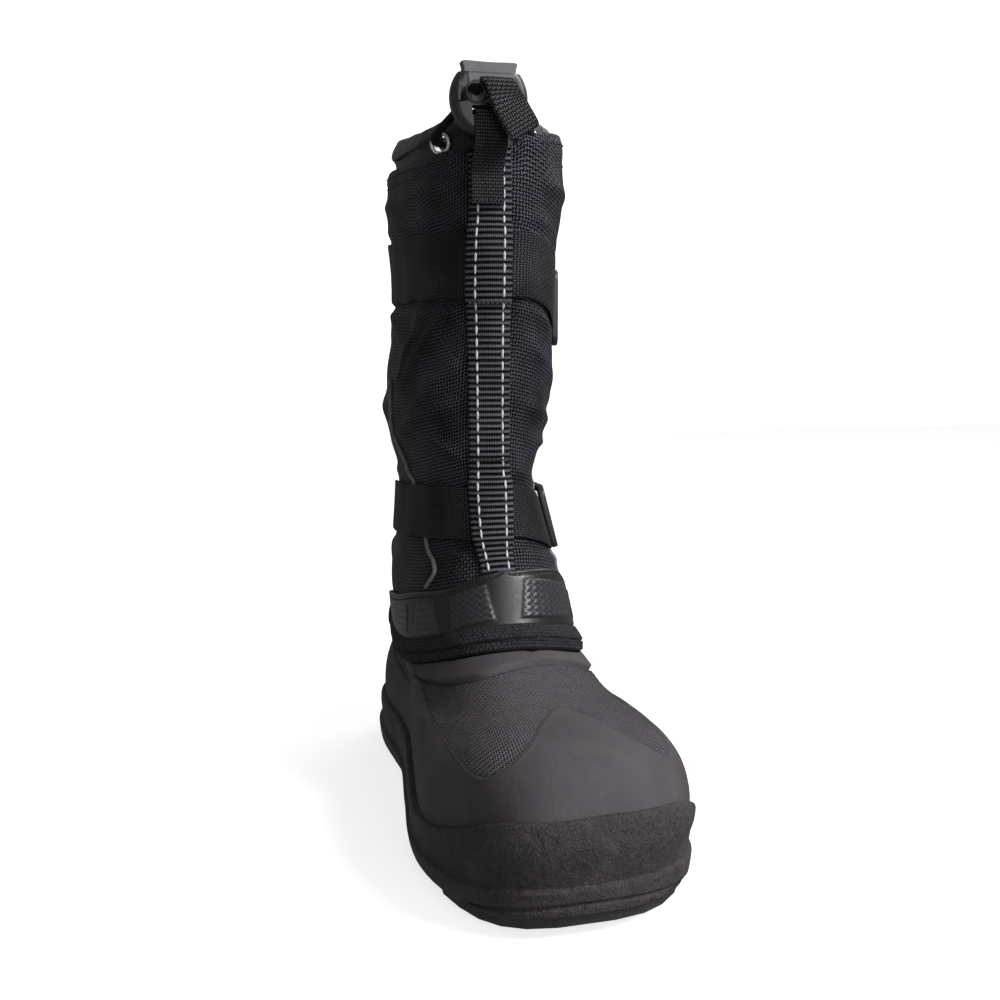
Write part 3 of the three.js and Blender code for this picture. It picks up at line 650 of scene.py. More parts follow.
def make_looks():
    looks = {}
    looks["galosh"] = rubber("galosh_rubber", (0.076, 0.068, 0.076), 0.66, 420, 0.3, 0.35, woven=True)
    looks["rand"] = rubber("rand_rubber", (0.060, 0.052, 0.057), 0.56, 230, 1.5, 0.5)
    looks["sole"] = rubber("sole_rubber", (0.05, 0.044, 0.048), 0.68, 260, 0.6, 0.4)
    looks["shaft"] = nylon("ballistic_nylon", (0.0022, 0.0022, 0.0029), 0.0015, 52, 1.1, 0.9, 0.45)
    looks["collar"] = nylon("collar_nylon", (0.021, 0.021, 0.025), 0.0004, 1.8, 1.0, 0.05, 0.4, 0.4)
    looks["webbing"] = nylon("webbing", (0.0042, 0.0039, 0.0046), 0.0011, 18, 1.3, 0.5, 0.5)
    looks["spine"] = ribbed("spine_webbing", (0.006, 0.0058, 0.0072))
    looks["braid"] = nylon("braid", (0.015, 0.0142, 0.0158), 0.0011, 10, 1.5, 0.8, 0.6)
    looks["cord"] = nylon("cord_braid", (0.009, 0.0088, 0.010), 0.0009, 3, 1.4, 0.35, 0.5)

    knit = Look("knit", (0.015, 0.0146, 0.017), 0.8, specular=0.2)
    loops = knit.thread(0.0011, 1.4)
    # Painted highlights on the tops of the knit's loops, and painted shade between them.
    knit.paint(knit.tint(knit.times(loops, knit.noise(700, 2)), 0.5, 3.4, (0.15, 0.7)))
    looks["knit"] = knit.bump((knit.noise(900, 3), 0.4), (loops, 0.4))

    guard = Look("guard_plastic", (0.0115, 0.0115, 0.0135), 0.36, specular=0.5)
    # Painted highlights on the raised panels: their slanted weave is lighter on its tops, for a glossy
    # reflection.
    check = guard.thread(0.0026, slanted=True)
    panel = guard.times(check, guard.mask())
    guard.paint(guard.tint(panel, 0.9, 3.4, (0.3, 1.0)))
    guard.dull(guard.noise(60, 4), 0.28, 0.46)
    looks["guard"] = guard.bump((guard.noise(500, 3), 0.06), (panel, 0.2))

    for slot, *look in (
        ("plastic", "plastic", (0.027, 0.026, 0.029), 0.36, (90, 5), (0.85, 1.2), (1500, 3, 0.05), True),
        ("button", "button", (0.105, 0.103, 0.118), 0.42, (90, 5), (0.85, 1.2), (1500, 3, 0.05), True),
        ("stitch", "reflective_thread", (0.62, 0.62, 0.65), 0.5, (1500, 2), (0.8, 1.25), (2600, 2, 0.1)),
        ("piping", "piping", (0.16, 0.16, 0.17), 0.5, (500, 3), (0.8, 1.2), (1800, 2, 0.06)),
        ("seam", "seam_thread", (0.03, 0.03, 0.034), 0.7, (1500, 2), (0.7, 1.4), (2600, 2, 0.1)),
    ):
        looks[slot] = mottled(*look)
    felt = (0.02, 0.0195, 0.022)
    looks["felt"] = mottled("insole_felt", felt, 0.95, (260, 6), (0.7, 1.5), (1300, 4, 0.5), specular=0.1)

    steel = Look("eyelet_metal", (0.78, 0.79, 0.82), 0.3, metallic=0.4)
    steel.dull(steel.noise(900, 4), 0.16, 0.36)
    looks["steel"] = steel.bump((steel.noise(1200, 2), 0.02))

    for name, glow in (("floor", 0.75), ("backdrop", 0.97)):
        pale = Look(name, (0.8, 0.8, 0.8), 0.9, specular=0.1)
        pale.paint(pale.tint(pale.noise(3, 2), 0.995, 1.005))
        pale.set("Emission Color", (1, 1, 1, 1))
        pale.set("Emission Strength", glow)
        looks[name] = pale.material
    return looks


# ------------------------------------------------------------------ camera, light and floor
def make_view():
    """From the front and a little from the medial side, at shin height."""
    camera = link("camera", bpy.data.cameras.new("camera"))
    camera.location = (-0.1643, -0.5494, 0.222)
    camera.data.lens = 45.5
    camera.data.sensor_width = 36
    camera.rotation_euler = (math.radians(90 - 7.67), 0, math.radians(-16.4))
    bpy.context.scene.camera = camera


def make_light():
    world = bpy.data.worlds.new("studio")
    world.use_nodes = True
    background = world.node_tree.nodes["Background"]
    background.inputs["Color"].default_value = (1, 1, 1, 1)
    background.inputs["Strength"].default_value = 0.2
    bpy.context.scene.world = world
    bpy.context.scene.view_settings.view_transform = "Standard"
    boot = Vector((0, 0, 0.17))
    for name, place, size, power in (
        ("key", (1.05, -0.95, 1.2), 0.7, 30),
        ("fill", (0.3, -1.6, 0.5), 0.9, 7),
        ("rim", (0.9, 0.8, 1.1), 0.9, 5),
    ):
        data = bpy.data.lights.new(name, "AREA")
        data.size = size
        data.energy = power
        light = link(name, data)
        light.location = place
        light.rotation_euler = (boot - Vector(place)).to_track_quat("-Z", "Y").to_euler()


def make_floor(looks):
    """A pale floor, and a pale backdrop far behind the boot."""
    for name, corners in (
        ("floor", [(-6, -6, 0), (6, -6, 0), (6, 2, 0), (-6, 2, 0)]),
        ("backdrop", [(-6, 2, 0), (6, 2, 0), (6, 2, 5), (-6, 2, 5)]),
    ):
        mesh = bpy.data.meshes.new(name)
        mesh.from_pydata(corners, [], [(0, 1, 2, 3)])
        mesh.materials.append(looks[name])
        sheet = link(name, mesh)
        sheet.visible_glossy = False
        sheet.visible_diffuse = False


# ------------------------------------------------------------------ drawcord
def eyelet_spot(side):
    x = SPINE_X + side * EYELET_REACH
    girths = np.linspace(-0.25, 0.25, 2001)
    at = skin(COLLAR, 1.8, girths)
    girth = girths[np.argmin(np.abs(at[:, 0] - x))]
    level = solve(lambda l: skin(COLLAR, l, girth)[..., 2], EYELET_UP - (side < 0) * 2.2, 0, 3)
    return skin(COLLAR, level, girth), outward(COLLAR, level, turn_of(COLLAR, level, girth))


TAB_HEAD = np.array([-4.4, -11.5, 325.2])
LEAN = math.radians(TAB_LEAN)


def cord_hole(side):
    return np.array([LOCK_X + side * CORD_HOLE_SIDE, LOCK_Y, LOCK_Z + CORD_HOLE_UP])


def cord_route(side):
    """Out of an eyelet, behind the lock, through its hole and up to the pull tab's head."""
    at, out = eyelet_spot(side)
    hole = cord_hole(side)
    head = TAB_HEAD + (side * 3.4, 0, 0)
    past = at + out * 5
    past[2] = at[2] + 2.5
    return [
        at - out * 4,
        at + out,
        past,
        hole + (side * 7, 9.6, -8),
        hole + (side * 2, 9, -1.5),
        hole + (0, 5.5, 0),
        hole + (0, -4, 0),
        hole + (side * 2.2, -7, 1.2),
        head + (side * 1.5, 4.4, 0),
        head + (0, 3.6, 0.9),
        head + (-0.3, 2, 1.7),
        head + (-0.3, 0.6, 1.3),
        head + (-0.2, 0.1, 0.2),
    ]


def make_cords(looks):
    for side, name in ((-1, "medial"), (1, "lateral")):
        cord = tube(f"drawcord_look_{name}", sweep(cord_route(side), 160), CORD / 2, 24)
        settle(cord, looks["cord"], [f"drawcord_{name}"])


# ------------------------------------------------------------------ sole and galosh
def sole_point(girth, out, up):
    turn = turn_of(UPPER, FEATHER, girth)
    point = ring_point(UPPER, FEATHER, turn)
    side = outward(UPPER, FEATHER, turn)
    side[..., 2] = 0
    moved = point + unit(side) * out
    moved[..., 2] = up(point)
    return moved


def soften(loops, times):
    """Cuts the corners between rows."""
    loops = np.array(loops)
    for _ in range(times):
        low, high = loops[:-1] * 0.75 + loops[1:] * 0.25, loops[:-1] * 0.25 + loops[1:] * 0.75
        middle = np.stack([low, high], 1).reshape(-1, *loops.shape[1:])
        loops = np.concatenate([loops[:1], middle[1:-1], loops[-1:]])
    return loops


def make_outsole(looks):
    girth = np.linspace(-0.5, 0.5, 420, endpoint=False)

    def ground(point):
        return np.maximum(side_height("ground", point), 0)

    top = level_at(side_height("rand", skin(UPPER, 1, girth)), girth, 0, 3)
    wave = 0.05 * np.sin(girth * 2 * math.pi * 7 + 1) + 0.03 * np.sin(girth * 2 * math.pi * 17)
    top = top + wave * 0.35
    raised = GAP + RAND

    def rand(share, offset):
        return skin(UPPER, top * share, girth, np.full(girth.shape, offset))

    def line(out, low, high):
        """A ring of the edge, low being its share from the tread's top to the edge's."""
        def up(point):
            return mix(ground(point) + TREAD, side_height("edge", point), low) + high
        return sole_point(girth, out, up)

    arc = 0.5 - 0.5 * (girth / 0.1) ** 2
    shown = 1 - smooth(np.abs(girth), 0.08, 0.1)
    bulk = curve_of((0, 0.1, 0.4, 0.8, 1), (1.5, 3.4, 4.1, 4.5, 4.7))

    def wall(share):
        groove = 1.3 * np.exp(-(((share - arc) / 0.07) ** 2)) * shown
        low = 0.35 * (1 - smooth(share - arc, -0.05, 0.05)) * shown
        return line((bulk(share) - groove - low)[..., None], share, 0.15 * (1 - share))

    loops = [wall(share) for share in np.linspace(0, 0.94, 22)] + [
        line(4.6, 1, 0.2),
        line(3.9, 1, 0.7),
        line(3.2, 1, 1),
        line(3.1, 1, 1.6),
        rand(0.35, raised),
        rand(0.55, raised + 0.2),
        rand(0.75, raised),
        rand(0.9, raised - 0.3),
        rand(0.97, raised - 0.7),
        rand(1, raised - 1.4),
        rand(1.01, 0.9),
        rand(1.01, -1),
        rand(0, -1),
    ]
    side = loft("outsole_look", soften(loops, 2))
    settle(side, looks["rand"], ["outsole"])
    # The tread's blocks keep the CAD's shape, with their edges eased.
    tread = link("outsole_tread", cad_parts["outsole"].data.copy())
    mesh = bmesh.new()
    mesh.from_mesh(tread.data)
    bmesh.ops.remove_doubles(mesh, verts=mesh.verts, dist=1e-6)
    high = []
    for face in mesh.faces:
        spot = (np.array(face.calc_center_median()) - SHIFT) / MM
        above = spot[2] > ground(spot[None])[0] + TREAD - 0.05
        if above and face.normal.z > -0.5 or spot[2] > 16:
            high.append(face)
    bmesh.ops.delete(mesh, geom=high, context="FACES")
    bmesh.ops.dissolve_limit(mesh, angle_limit=0.05, verts=mesh.verts, edges=mesh.edges)
    mesh.to_mesh(tread.data)
    mesh.free()
    bevel = tread.modifiers.new("ease", "BEVEL")
    bevel.width = 0.0005
    bevel.segments = 2
    bevel.angle_limit = math.radians(40)
    settle(tread, looks["sole"])


# The woven vamp's lower edge: a lobe on each side of a peak over the toes.
VAMP_EDGE = curve_of(
    (-0.185, -0.164, -0.149, -0.125, -0.102, -0.085, -0.066, -0.045, -0.022, 0, 0.021,
     0.038, 0.055, 0.081, 0.102, 0.125, 0.149, 0.166, 0.185),
    (6.4, 5.8, 5.3, 4.2, 3.25, 2.7, 2.4, 2.6, 3.3, 4.15, 4.62,
     4.1, 3.1, 2.42, 2.7, 3.5, 4.9, 5.8, 6.4),
)
RIM_BAND = curve_of(
    (-0.5, -0.3, -0.169, -0.086, -0.037, 0, 0.035, 0.076, 0.145, 0.3, 0.5),
    (5.66, 5.66, 5.64, 5.54, 5.58, 5.7, 5.78, 5.76, 5.56, 5.66, 5.66),
)


def make_galosh(looks):
    def woven(level, girth):
        band = RIM_BAND(girth)
        inside = smooth(level - VAMP_EDGE(girth), 0.0, 0.05) * (1 - smooth(level, band - 0.05, band))
        return inside * (np.abs(girth) < 0.18)

    def outer(level, girth, share):
        edge = VAMP_EDGE(girth)
        front = 1 - smooth(np.abs(girth), 0.165, 0.185)
        cap = (1 - smooth(level - edge, -0.05, 0.03)) * front
        lip = np.exp(-(((level - edge + 0.09) / 0.06) ** 2)) * front
        past = level - RIM_BAND(girth)
        band = smooth(past, -0.01, 0.035)
        under = np.exp(-(((past + 0.03) / 0.026) ** 2))
        heel = smooth(np.abs(girth), 0.3, 0.34) * (1 - smooth(level, 3.4, 3.5)) * 0.7
        wrinkle = fold(level, girth, GALOSH_FOLDS)
        return 0.5 * cap + 0.25 * lip - 0.25 + 1.7 * band - 1.2 * under + heel + wrinkle * (1 - band)

    def top(girth):
        """Wavy, with a small notch in front."""
        return RIM + 0.02 * np.sin(girth * 40) - 0.05 * np.exp(-(((girth - 0.028) / 0.006) ** 2))

    shares = np.concatenate([np.linspace(0, 0.86, 104), np.linspace(0.865, 1, 52)])
    galosh = shell("galosh_look", UPPER, 0, top, outer, -GALOSH_WALL, (shares, 460), mask=woven)
    settle(galosh, looks["galosh"], ["galosh"])


# Level, girth, half length, half width, slope, height.
GALOSH_FOLDS = (
    (2.6, -0.02, 1.5, 0.35, 0.2, 0.5),
    (4.9, -0.06, 0.7, 0.25, 0.4, 0.4),
    (4.7, 0.07, 0.8, 0.25, -0.4, 0.4),
    (3.3, -0.13, 0.8, 0.3, 0.9, -0.5),
    (3.2, 0.14, 0.8, 0.3, -0.9, -0.5),
    (5.0, -0.17, 0.5, 0.25, 0.5, -0.5),
    (5.0, 0.18, 0.5, 0.25, -0.5, -0.5),
    (2.4, 0.24, 1.4, 0.5, 0, -0.6),
    (2.4, -0.24, 1.4, 0.5, 0, -0.6),
)


def make_insole(looks):
    girth = np.linspace(-0.5, 0.5, 260, endpoint=False)
    inset = -GALOSH_WALL - GAP - 0.2

    def line(out, rise):
        return sole_point(girth, inset + out, lambda p: p[..., 2] + rise)

    loops = [line(-1, 0), line(0, 0.6), line(0, 4), line(-0.6, 4.8), line(-3, INSOLE_THICKNESS)]
    shares = np.linspace(1, 0.02, 40)
    centre = np.array([2, 0, 0])
    inside = [loops[-1] * (s, s, 1) + centre * (1 - s) for s in shares[1:]]
    settle(loft("insole_look", np.array(loops + inside)), looks["felt"], ["insole"])


# ------------------------------------------------------------------ shaft
SHAFT_FOLDS = (
    (13.3, -0.10, 0.9, 0.16, 0.5, 1.1),
    (12.6, -0.13, 1.0, 0.15, 0.9, 1.3),
    (11.9, -0.10, 0.8, 0.14, 0.7, 1.1),
    (11.3, -0.14, 0.9, 0.16, 0.35, 1.4),
    (12.3, -0.19, 0.9, 0.14, 1.1, 1.0),
    (10.75, -0.07, 0.6, 0.12, -0.5, 1.0),
    (12.9, 0.08, 1.0, 0.15, -0.9, 1.2),
    (12.1, 0.11, 0.9, 0.16, -0.6, 1.3),
    (11.4, 0.09, 0.8, 0.14, -0.35, 1.2),
    (10.8, 0.15, 0.7, 0.12, -0.2, 1.0),
    (9.25, -0.07, 0.7, 0.10, 0.3, 1.1),
    (9.2, 0.07, 0.6, 0.10, -0.3, 1.1),
    (9.35, 0.17, 0.8, 0.12, -0.1, 1.2),
    (9.3, -0.20, 0.9, 0.12, 0.1, 1.2),
    (9.6, 0.42, 1.0, 0.14, 0, 1.5),
    (9.0, 0.47, 1.1, 0.14, 0.1, 1.3),
    (8.3, 0.44, 1.2, 0.16, 0.1, 1.2),
    (8.5, -0.43, 1.1, 0.16, -0.1, 1.2),
    (7.6, 0.46, 1.3, 0.16, 0, 1.1),
    (11.2, 0.38, 1.2, 0.16, 0.3, 1.4),
    (12.4, 0.45, 1.1, 0.16, -0.2, 1.3),
    (13.2, 0.36, 1.0, 0.15, 0.2, 1.1),
    (9.4, -0.40, 1.0, 0.14, 0.1, 1.4),
    (11.5, -0.37, 1.2, 0.16, -0.3, 1.3),
    (12.6, -0.42, 1.1, 0.16, 0.2, 1.2),
    (11.9, 0.24, 1.0, 0.2, 0.5, 1.2),
    (12.9, -0.27, 1.0, 0.2, -0.5, 1.2),
    (15.2, -0.12, 0.8, 0.12, 0.1, 0.8),
    (15.2, 0.12, 0.9, 0.12, -0.1, 0.8),
    (15.4, 0.30, 1.1, 0.13, 0.2, 0.9),
    (15.1, -0.30, 1.1, 0.13, -0.1, 0.9),
)


def strap_height(strap, turn):
    away = np.abs((turn - strap["turn"] + 540) % 360 - 180)
    base = mix(strap["back"], strap["front"], (1 + np.cos(np.radians(turn))) / 2)
    return mix(strap["lateral"], base, smooth(away, 0, 75))


def shaft_offset(level, girth, share=None):
    level, girth = np.broadcast_arrays(level, girth)
    turn = turn_of(UPPER, level, girth)
    at = ring_point(UPPER, level, turn)
    free = smooth(level, 8.1, 8.6) + (np.abs(girth) > 0.33) * smooth(level, 7, 7.5)
    free = np.minimum(free, 1)
    pinch = 0
    for strap in STRAPS.values():
        away = np.abs(at[..., 2] - strap_height(strap, turn)) - strap["width"] / 2
        free = free * smooth(away, 0.5, 6)
        pinch = pinch + 0.9 * np.exp(-(((away - 6) / 3.5) ** 2)) * (away > 0)
    spine = np.where(np.abs(girth) < 0.2, smooth(np.abs(at[..., 0] - SPINE_X), 9.5, 14), 1)
    soft = 0.35 * np.sin(girth * 50 + level * 3) * np.sin(level * 4.3 + girth * 19)
    hem = 0.5 * smooth(level, 15.55, 15.7) * (1 - smooth(level, 15.85, 15.95))
    return (1.9 * fold(level, girth, SHAFT_FOLDS) + soft + pinch) * free * spine - 0.25 + hem * spine


def sway(piece):
    """The shaft's edge stands higher at the lateral front and dips on the medial side; the
    collar's hem dips more there, and stands higher at the back."""
    for vertex in piece.data.vertices:
        x, y, z = (np.array(vertex.co) - SHIFT) / MM
        lateral = smooth(x, 7, 14) * (1 - smooth(y, 40, 75))
        medial = smooth(-x, 16, 38)
        back = smooth(y, 85, 110) * (1 - smooth(-x, 4, 20))
        edge = (5 * lateral - 3.5 * medial) * smooth(z, 285, 304)
        hem = (6 * back - 9 * medial) * smooth(z, 304, 317)
        vertex.co.z += (edge + hem) * MM


def make_shaft(looks):
    shaft = shell("shaft_look", UPPER, RIM + 0.06, EDGE, shaft_offset, -SHAFT_WALL, (190, 380))
    sway(shaft)
    settle(shaft, looks["shaft"], ["shaft"])


def pleats(level, girth, share=None):
    level, girth = np.broadcast_arrays(level, girth)
    wander = 0.5 * np.sin(girth * 2 * math.pi * 2 + 1.1) + 0.12 * np.sin(girth * 2 * math.pi * 7)
    wave = np.sin(2 * math.pi * (9 * girth + wander))
    wave = wave + 0.25 * np.sin(2 * math.pi * (23 * girth - wander * 2) + level)
    casing = 0.7 * np.exp(-(((level - 2.35) / 0.45) ** 2))
    eyes = 1
    for side in (-1, 1):
        spot, _ = EYELETS[side]
        gap = np.linalg.norm(skin(COLLAR, level, girth) - spot, axis=-1)
        eyes = eyes * smooth(gap, 6, 12)
    return (0.42 * wave * smooth(level, 1.0, 1.7) + casing) * eyes - 0.1


EYELETS = {side: eyelet_spot(side) for side in (-1, 1)}


def make_collar(looks):
    def lining(level, girth, share):
        return pleats(level, girth) - COLLAR_WALL

    collar = shell("snow_collar_look", COLLAR, 0, 3, pleats, lining, (60, 520))
    mesh = bmesh.new()
    mesh.from_mesh(collar.data)
    holes = []
    for spot, out in EYELETS.values():
        centre, axis = Vector(spot * MM + SHIFT), Vector(out)
        for face in mesh.faces:
            reach = face.calc_center_median() - centre
            along = reach.dot(axis)
            if abs(along) < 0.006 and (reach - axis * along).length < 0.0044:
                holes.append(face)
    bmesh.ops.delete(mesh, geom=holes, context="FACES")
    mesh.to_mesh(collar.data)
    mesh.free()
    sway(collar)
    settle(collar, looks["collar"], ["snow_collar"])


def make_roll(looks):
    def padding(level, girth, share):
        share = np.clip((level - RIM - 0.08) / 0.98, 0, 1)
        girth = np.broadcast_to(girth, level.shape)
        lumps = 0.35 * np.sin(girth * 61) * np.sin(girth * 23 + 2) + 0.18 * np.sin(girth * 150 + level * 9)
        rounded = np.sqrt(np.sin(math.pi * mix(0.06, 0.94, share)))
        crease = -1.1 * np.exp(-(((share - 0.52 - 0.06 * np.sin(girth * 31)) / 0.06) ** 2))
        return GAP + 1.1 + 3.1 * rounded + (lumps + crease) * rounded

    roll = shell("ankle_roll_look", UPPER, RIM + 0.08, ROLL_TOP + 0.06, padding, 0.1, (44, 460))
    settle(roll, looks["knit"], ["ankle_roll"])


# ------------------------------------------------------------------ ankle guard
GUARD_TOP_EDGE = curve_of(
    (-0.33, -0.25, -0.16, -0.11, -0.075, -0.03, -0.012, -0.004, 0.006, 0.03, 0.096, 0.13, 0.2, 0.33),
    (7.7, 7.78, 7.88, 7.86, 7.84, 8.0, 8.05, 8.12, 8.06, 8.08, 8.14, 7.98, 7.82, 7.7),
)
GUARD_LOW_EDGE = curve_of(
    (-0.33, -0.2, -0.157, -0.074, -0.027, 0.003, 0.1, 0.14, 0.2, 0.33),
    (7.12, 7.05, 6.99, 6.93, 7.0, 7.02, 7.08, 7.1, 7.08, 7.12),
)
# Raised panels, each four corners of (girth, level), in order round the panel.
GUARD_PANELS = (
    ((-0.155, 7.12), (-0.084, 7.06), (-0.1, 7.7), (-0.143, 7.74)),
    ((-0.07, 7.08), (-0.012, 7.17), (-0.024, 7.84), (-0.074, 7.7)),
    ((0.014, 7.18), (0.108, 7.24), (0.112, 7.86), (0.02, 7.9)),
    ((0.13, 7.22), (0.21, 7.24), (0.2, 7.68), (0.135, 7.78)),
    ((-0.25, 7.2), (-0.172, 7.17), (-0.17, 7.7), (-0.235, 7.64)),
)


def panel_depth(level, girth):
    """How far inside a raised panel a place is, in tenths of girth and in levels."""
    best = np.full(level.shape, -1.0)
    for corners in GUARD_PANELS:
        inside = np.full(level.shape, 9.0)
        for (g0, l0), (g1, l1) in zip(corners, corners[1:] + corners[:1]):
            run, rise = (g1 - g0) * 10, l1 - l0
            gap = (run * (level - l0) - rise * (girth - g0) * 10) / math.hypot(run, rise)
            inside = np.minimum(inside, gap)
        best = np.maximum(best, inside)
    return best


def make_guard(looks):
    girth = np.linspace(-0.33, 0.33, 330)[:, None]
    t = np.linspace(0, 1, 64)[None]
    low, high = GUARD_LOW_EDGE(girth), GUARD_TOP_EDGE(girth)
    shrink = 0.5 - 0.5 * np.sqrt(1 - np.clip((np.abs(girth) - 0.29) / 0.041, 0, 1) ** 2)
    low, high = mix(low, high, shrink), mix(high, low, shrink)
    level = mix(low, high, t)
    wide = np.broadcast_to(girth, level.shape)
    inside = panel_depth(level, wide)
    panel = smooth(inside, 0.0, 0.05)
    rounded = np.minimum(smooth(t, -0.02, 0.05), 1 - smooth(t, 0.95, 1.02))
    sides = 1 - smooth(np.abs(wide), 0.3, 0.33)
    groove = np.exp(-(((high - level - 0.1) / 0.022) ** 2))
    thick = 0.5 + (1.5 + 0.45 * panel - 0.4 * groove) * (0.4 + 0.6 * rounded) * (0.25 + 0.75 * sides)
    outer = skin(UPPER, level, wide, GAP + thick)
    back = level[:, ::-3]
    inner = skin(UPPER, back, np.broadcast_to(girth, back.shape), np.full(back.shape, GAP * 0.5))
    loops = np.concatenate([outer, inner], 1)[:, ::-1]
    run = np.broadcast_to(girth * 0.25, (len(girth), loops.shape[1] + 1))
    rise = np.concatenate([level, back], 1)[:, ::-1] * 0.024  # a level is about 24 mm here
    rise = np.concatenate([rise, rise[:, :1]], 1)
    mask = np.concatenate([panel, 0 * back], 1)[:, ::-1]
    guard = loft("ankle_guard_look", loops, uv=np.stack([run, rise], -1), mask=mask)
    settle(guard, looks["guard"], ["ankle_guard"])
    seam_girth = np.linspace(-0.3, 0.3, 84)
    seam_level = GUARD_TOP_EDGE(seam_girth) - 0.1
    seam = dashes("ankle_guard_stitches", UPPER, seam_level, seam_girth, GAP + 1.75, 1.9, 0.5)
    settle(seam, looks["seam"])


def dashes(name, rows, level, girth, offset, length, width, lift=0.35):
    """Stitches along a line on the skin, one at each of its places."""
    at = skin(rows, level, girth, offset)
    normal = outward(rows, level, turn_of(rows, level, girth))
    return beads(name, at, unit(np.gradient(at, axis=0)), normal, length, width, lift)


def beads(name, at, along, normal, length, width, lift):
    """Small lens shapes, each lying along its own direction."""
    across = unit(np.cross(normal, along))
    rings, u = np.linspace(-1, 1, 5), turns(8)
    swell = np.sqrt(np.maximum(1 - rings ** 4, 0.05))[:, None]
    points = sum(
        way[:, None, None] * size[None, ..., None]
        for way, size in (
            (at, np.ones((1, 1))),
            (along, rings[:, None] * length / 2),
            (across, swell * np.cos(u) * width / 2),
            (normal, swell * np.sin(u) * lift),
        )
    )
    index = np.arange(points[..., 0].size).reshape(points.shape[:3])
    low, high = index[:, :-1], index[:, 1:]
    faces = np.stack([np.roll(low, -1, 2), low, high, np.roll(high, -1, 2)], -1).reshape(-1, 4)
    mesh = bpy.data.meshes.new(name)
    mesh.from_pydata((points.reshape(-1, 3) * MM + SHIFT).tolist(), [], faces.tolist())
    mesh.shade_smooth()
    return link(name, mesh)


def loose_threads(name, lines, steps, radius, look):
    """Loose thread ends along short lines, as one piece."""
    threads = [tube(f"thread{n}", sweep(line, steps), radius, 6) for n, line in enumerate(lines)]
    settle(join(name, threads), look)


# ------------------------------------------------------------------ webbing
def strap_band(name, strap, girth, out, closed):
    """A webbing round the shaft at its strap's height, at one distance off the skin."""
    girth = girth[:, None]
    a, b = (part[None] for part in section(STRAP_SECTION, 0.3, 0.4))
    turn = turn_of(UPPER, 10 if strap is STRAPS["lower"] else 14, girth)
    waver = 0.4 * np.sin(girth * 33) + 0.25 * np.sin(girth * 71 + 1)
    height = strap_height(strap, turn) + waver + a * strap["width"] / 2
    level = level_at(height, girth + 0 * a, 8, EDGE)
    lift = out + b * WEBBING / 2 + 0.15 * np.sin(girth * 90) * (b > 0)
    loops = skin(UPPER, level, np.broadcast_to(girth, level.shape), lift)
    u = np.append(a, a[:, :1]) * strap["width"] / 2 * MM
    v = np.append(girth, girth[-1] + 1 / 300) * STRAP_GIRTH * MM
    uv = np.stack(np.broadcast_arrays(u[None], v[:, None]), -1)
    return loft(name, loops[:, ::-1], uv=turned(uv), wrap=closed)


def make_strap(looks, name):
    strap = STRAPS[name]
    around = np.linspace(-0.5, 0.5, 300, endpoint=False)
    piece = strap_band(f"{name}_strap_look", strap, around, GAP + WEBBING / 2, True)
    settle(piece, looks["webbing"], [f"{name}_strap"])
    # The free end comes out of the buckle and lies back along the strap.
    start, steps = 0.262, 60
    girth = np.linspace(start, start + 0.15, steps)
    lift = 0.5 * smooth(np.linspace(0, 1, steps)[:, None], 0.6, 1)
    tail = strap_band(f"{name}_strap_tail", strap, girth, GAP * 2 + WEBBING * 1.5 + lift, False)
    settle(tail, looks["webbing"])
    end = np.array([v.co for v in tail.data.vertices])[-STRAP_SECTION:]
    lines = []
    for n in range(9):
        root = (end[(n * 4) % STRAP_SECTION] - SHIFT) / MM
        way = np.array([0.25 * math.sin(n * 2.1), 1, 0.5 * math.sin(n * 1.3 + 1)])
        tip = root + way * (2.2 + n % 4) + (0.7, 0, -0.8 * (n % 2))
        lines.append([root - way, root, root + way * (1.5 + n % 3), tip])
    loose_threads(f"{name}_strap_threads", lines, 18, 0.13, looks["braid"])


def spine_lift(height):
    lift = 0
    for strap in STRAPS.values():
        away = np.abs(height - strap_height(strap, 0.0))
        over = 1 - smooth(away, strap["width"] / 2 + 0.5, strap["width"] / 2 + 5)
        lift = np.maximum(lift, over)
    return GAP + lift * (WEBBING + GAP)


def spine_line(count, x):
    """Points, directions across and normals along the spine, from the guard up."""
    level = np.linspace(8.02, EDGE - 0.06, count)
    at_x = x * (1 - 0.18 * (1 - smooth(level, 8, 10))) + SPINE_X
    girth = girth_at(level, at_x)
    height = skin(UPPER, level, girth)[..., 2]
    at = skin(UPPER, level, girth, spine_lift(height))
    normal = outward(UPPER, level, turn_of(UPPER, level, girth))
    across = unit(skin(UPPER, level, girth + 0.004) - skin(UPPER, level, girth - 0.004))
    return at, across, normal


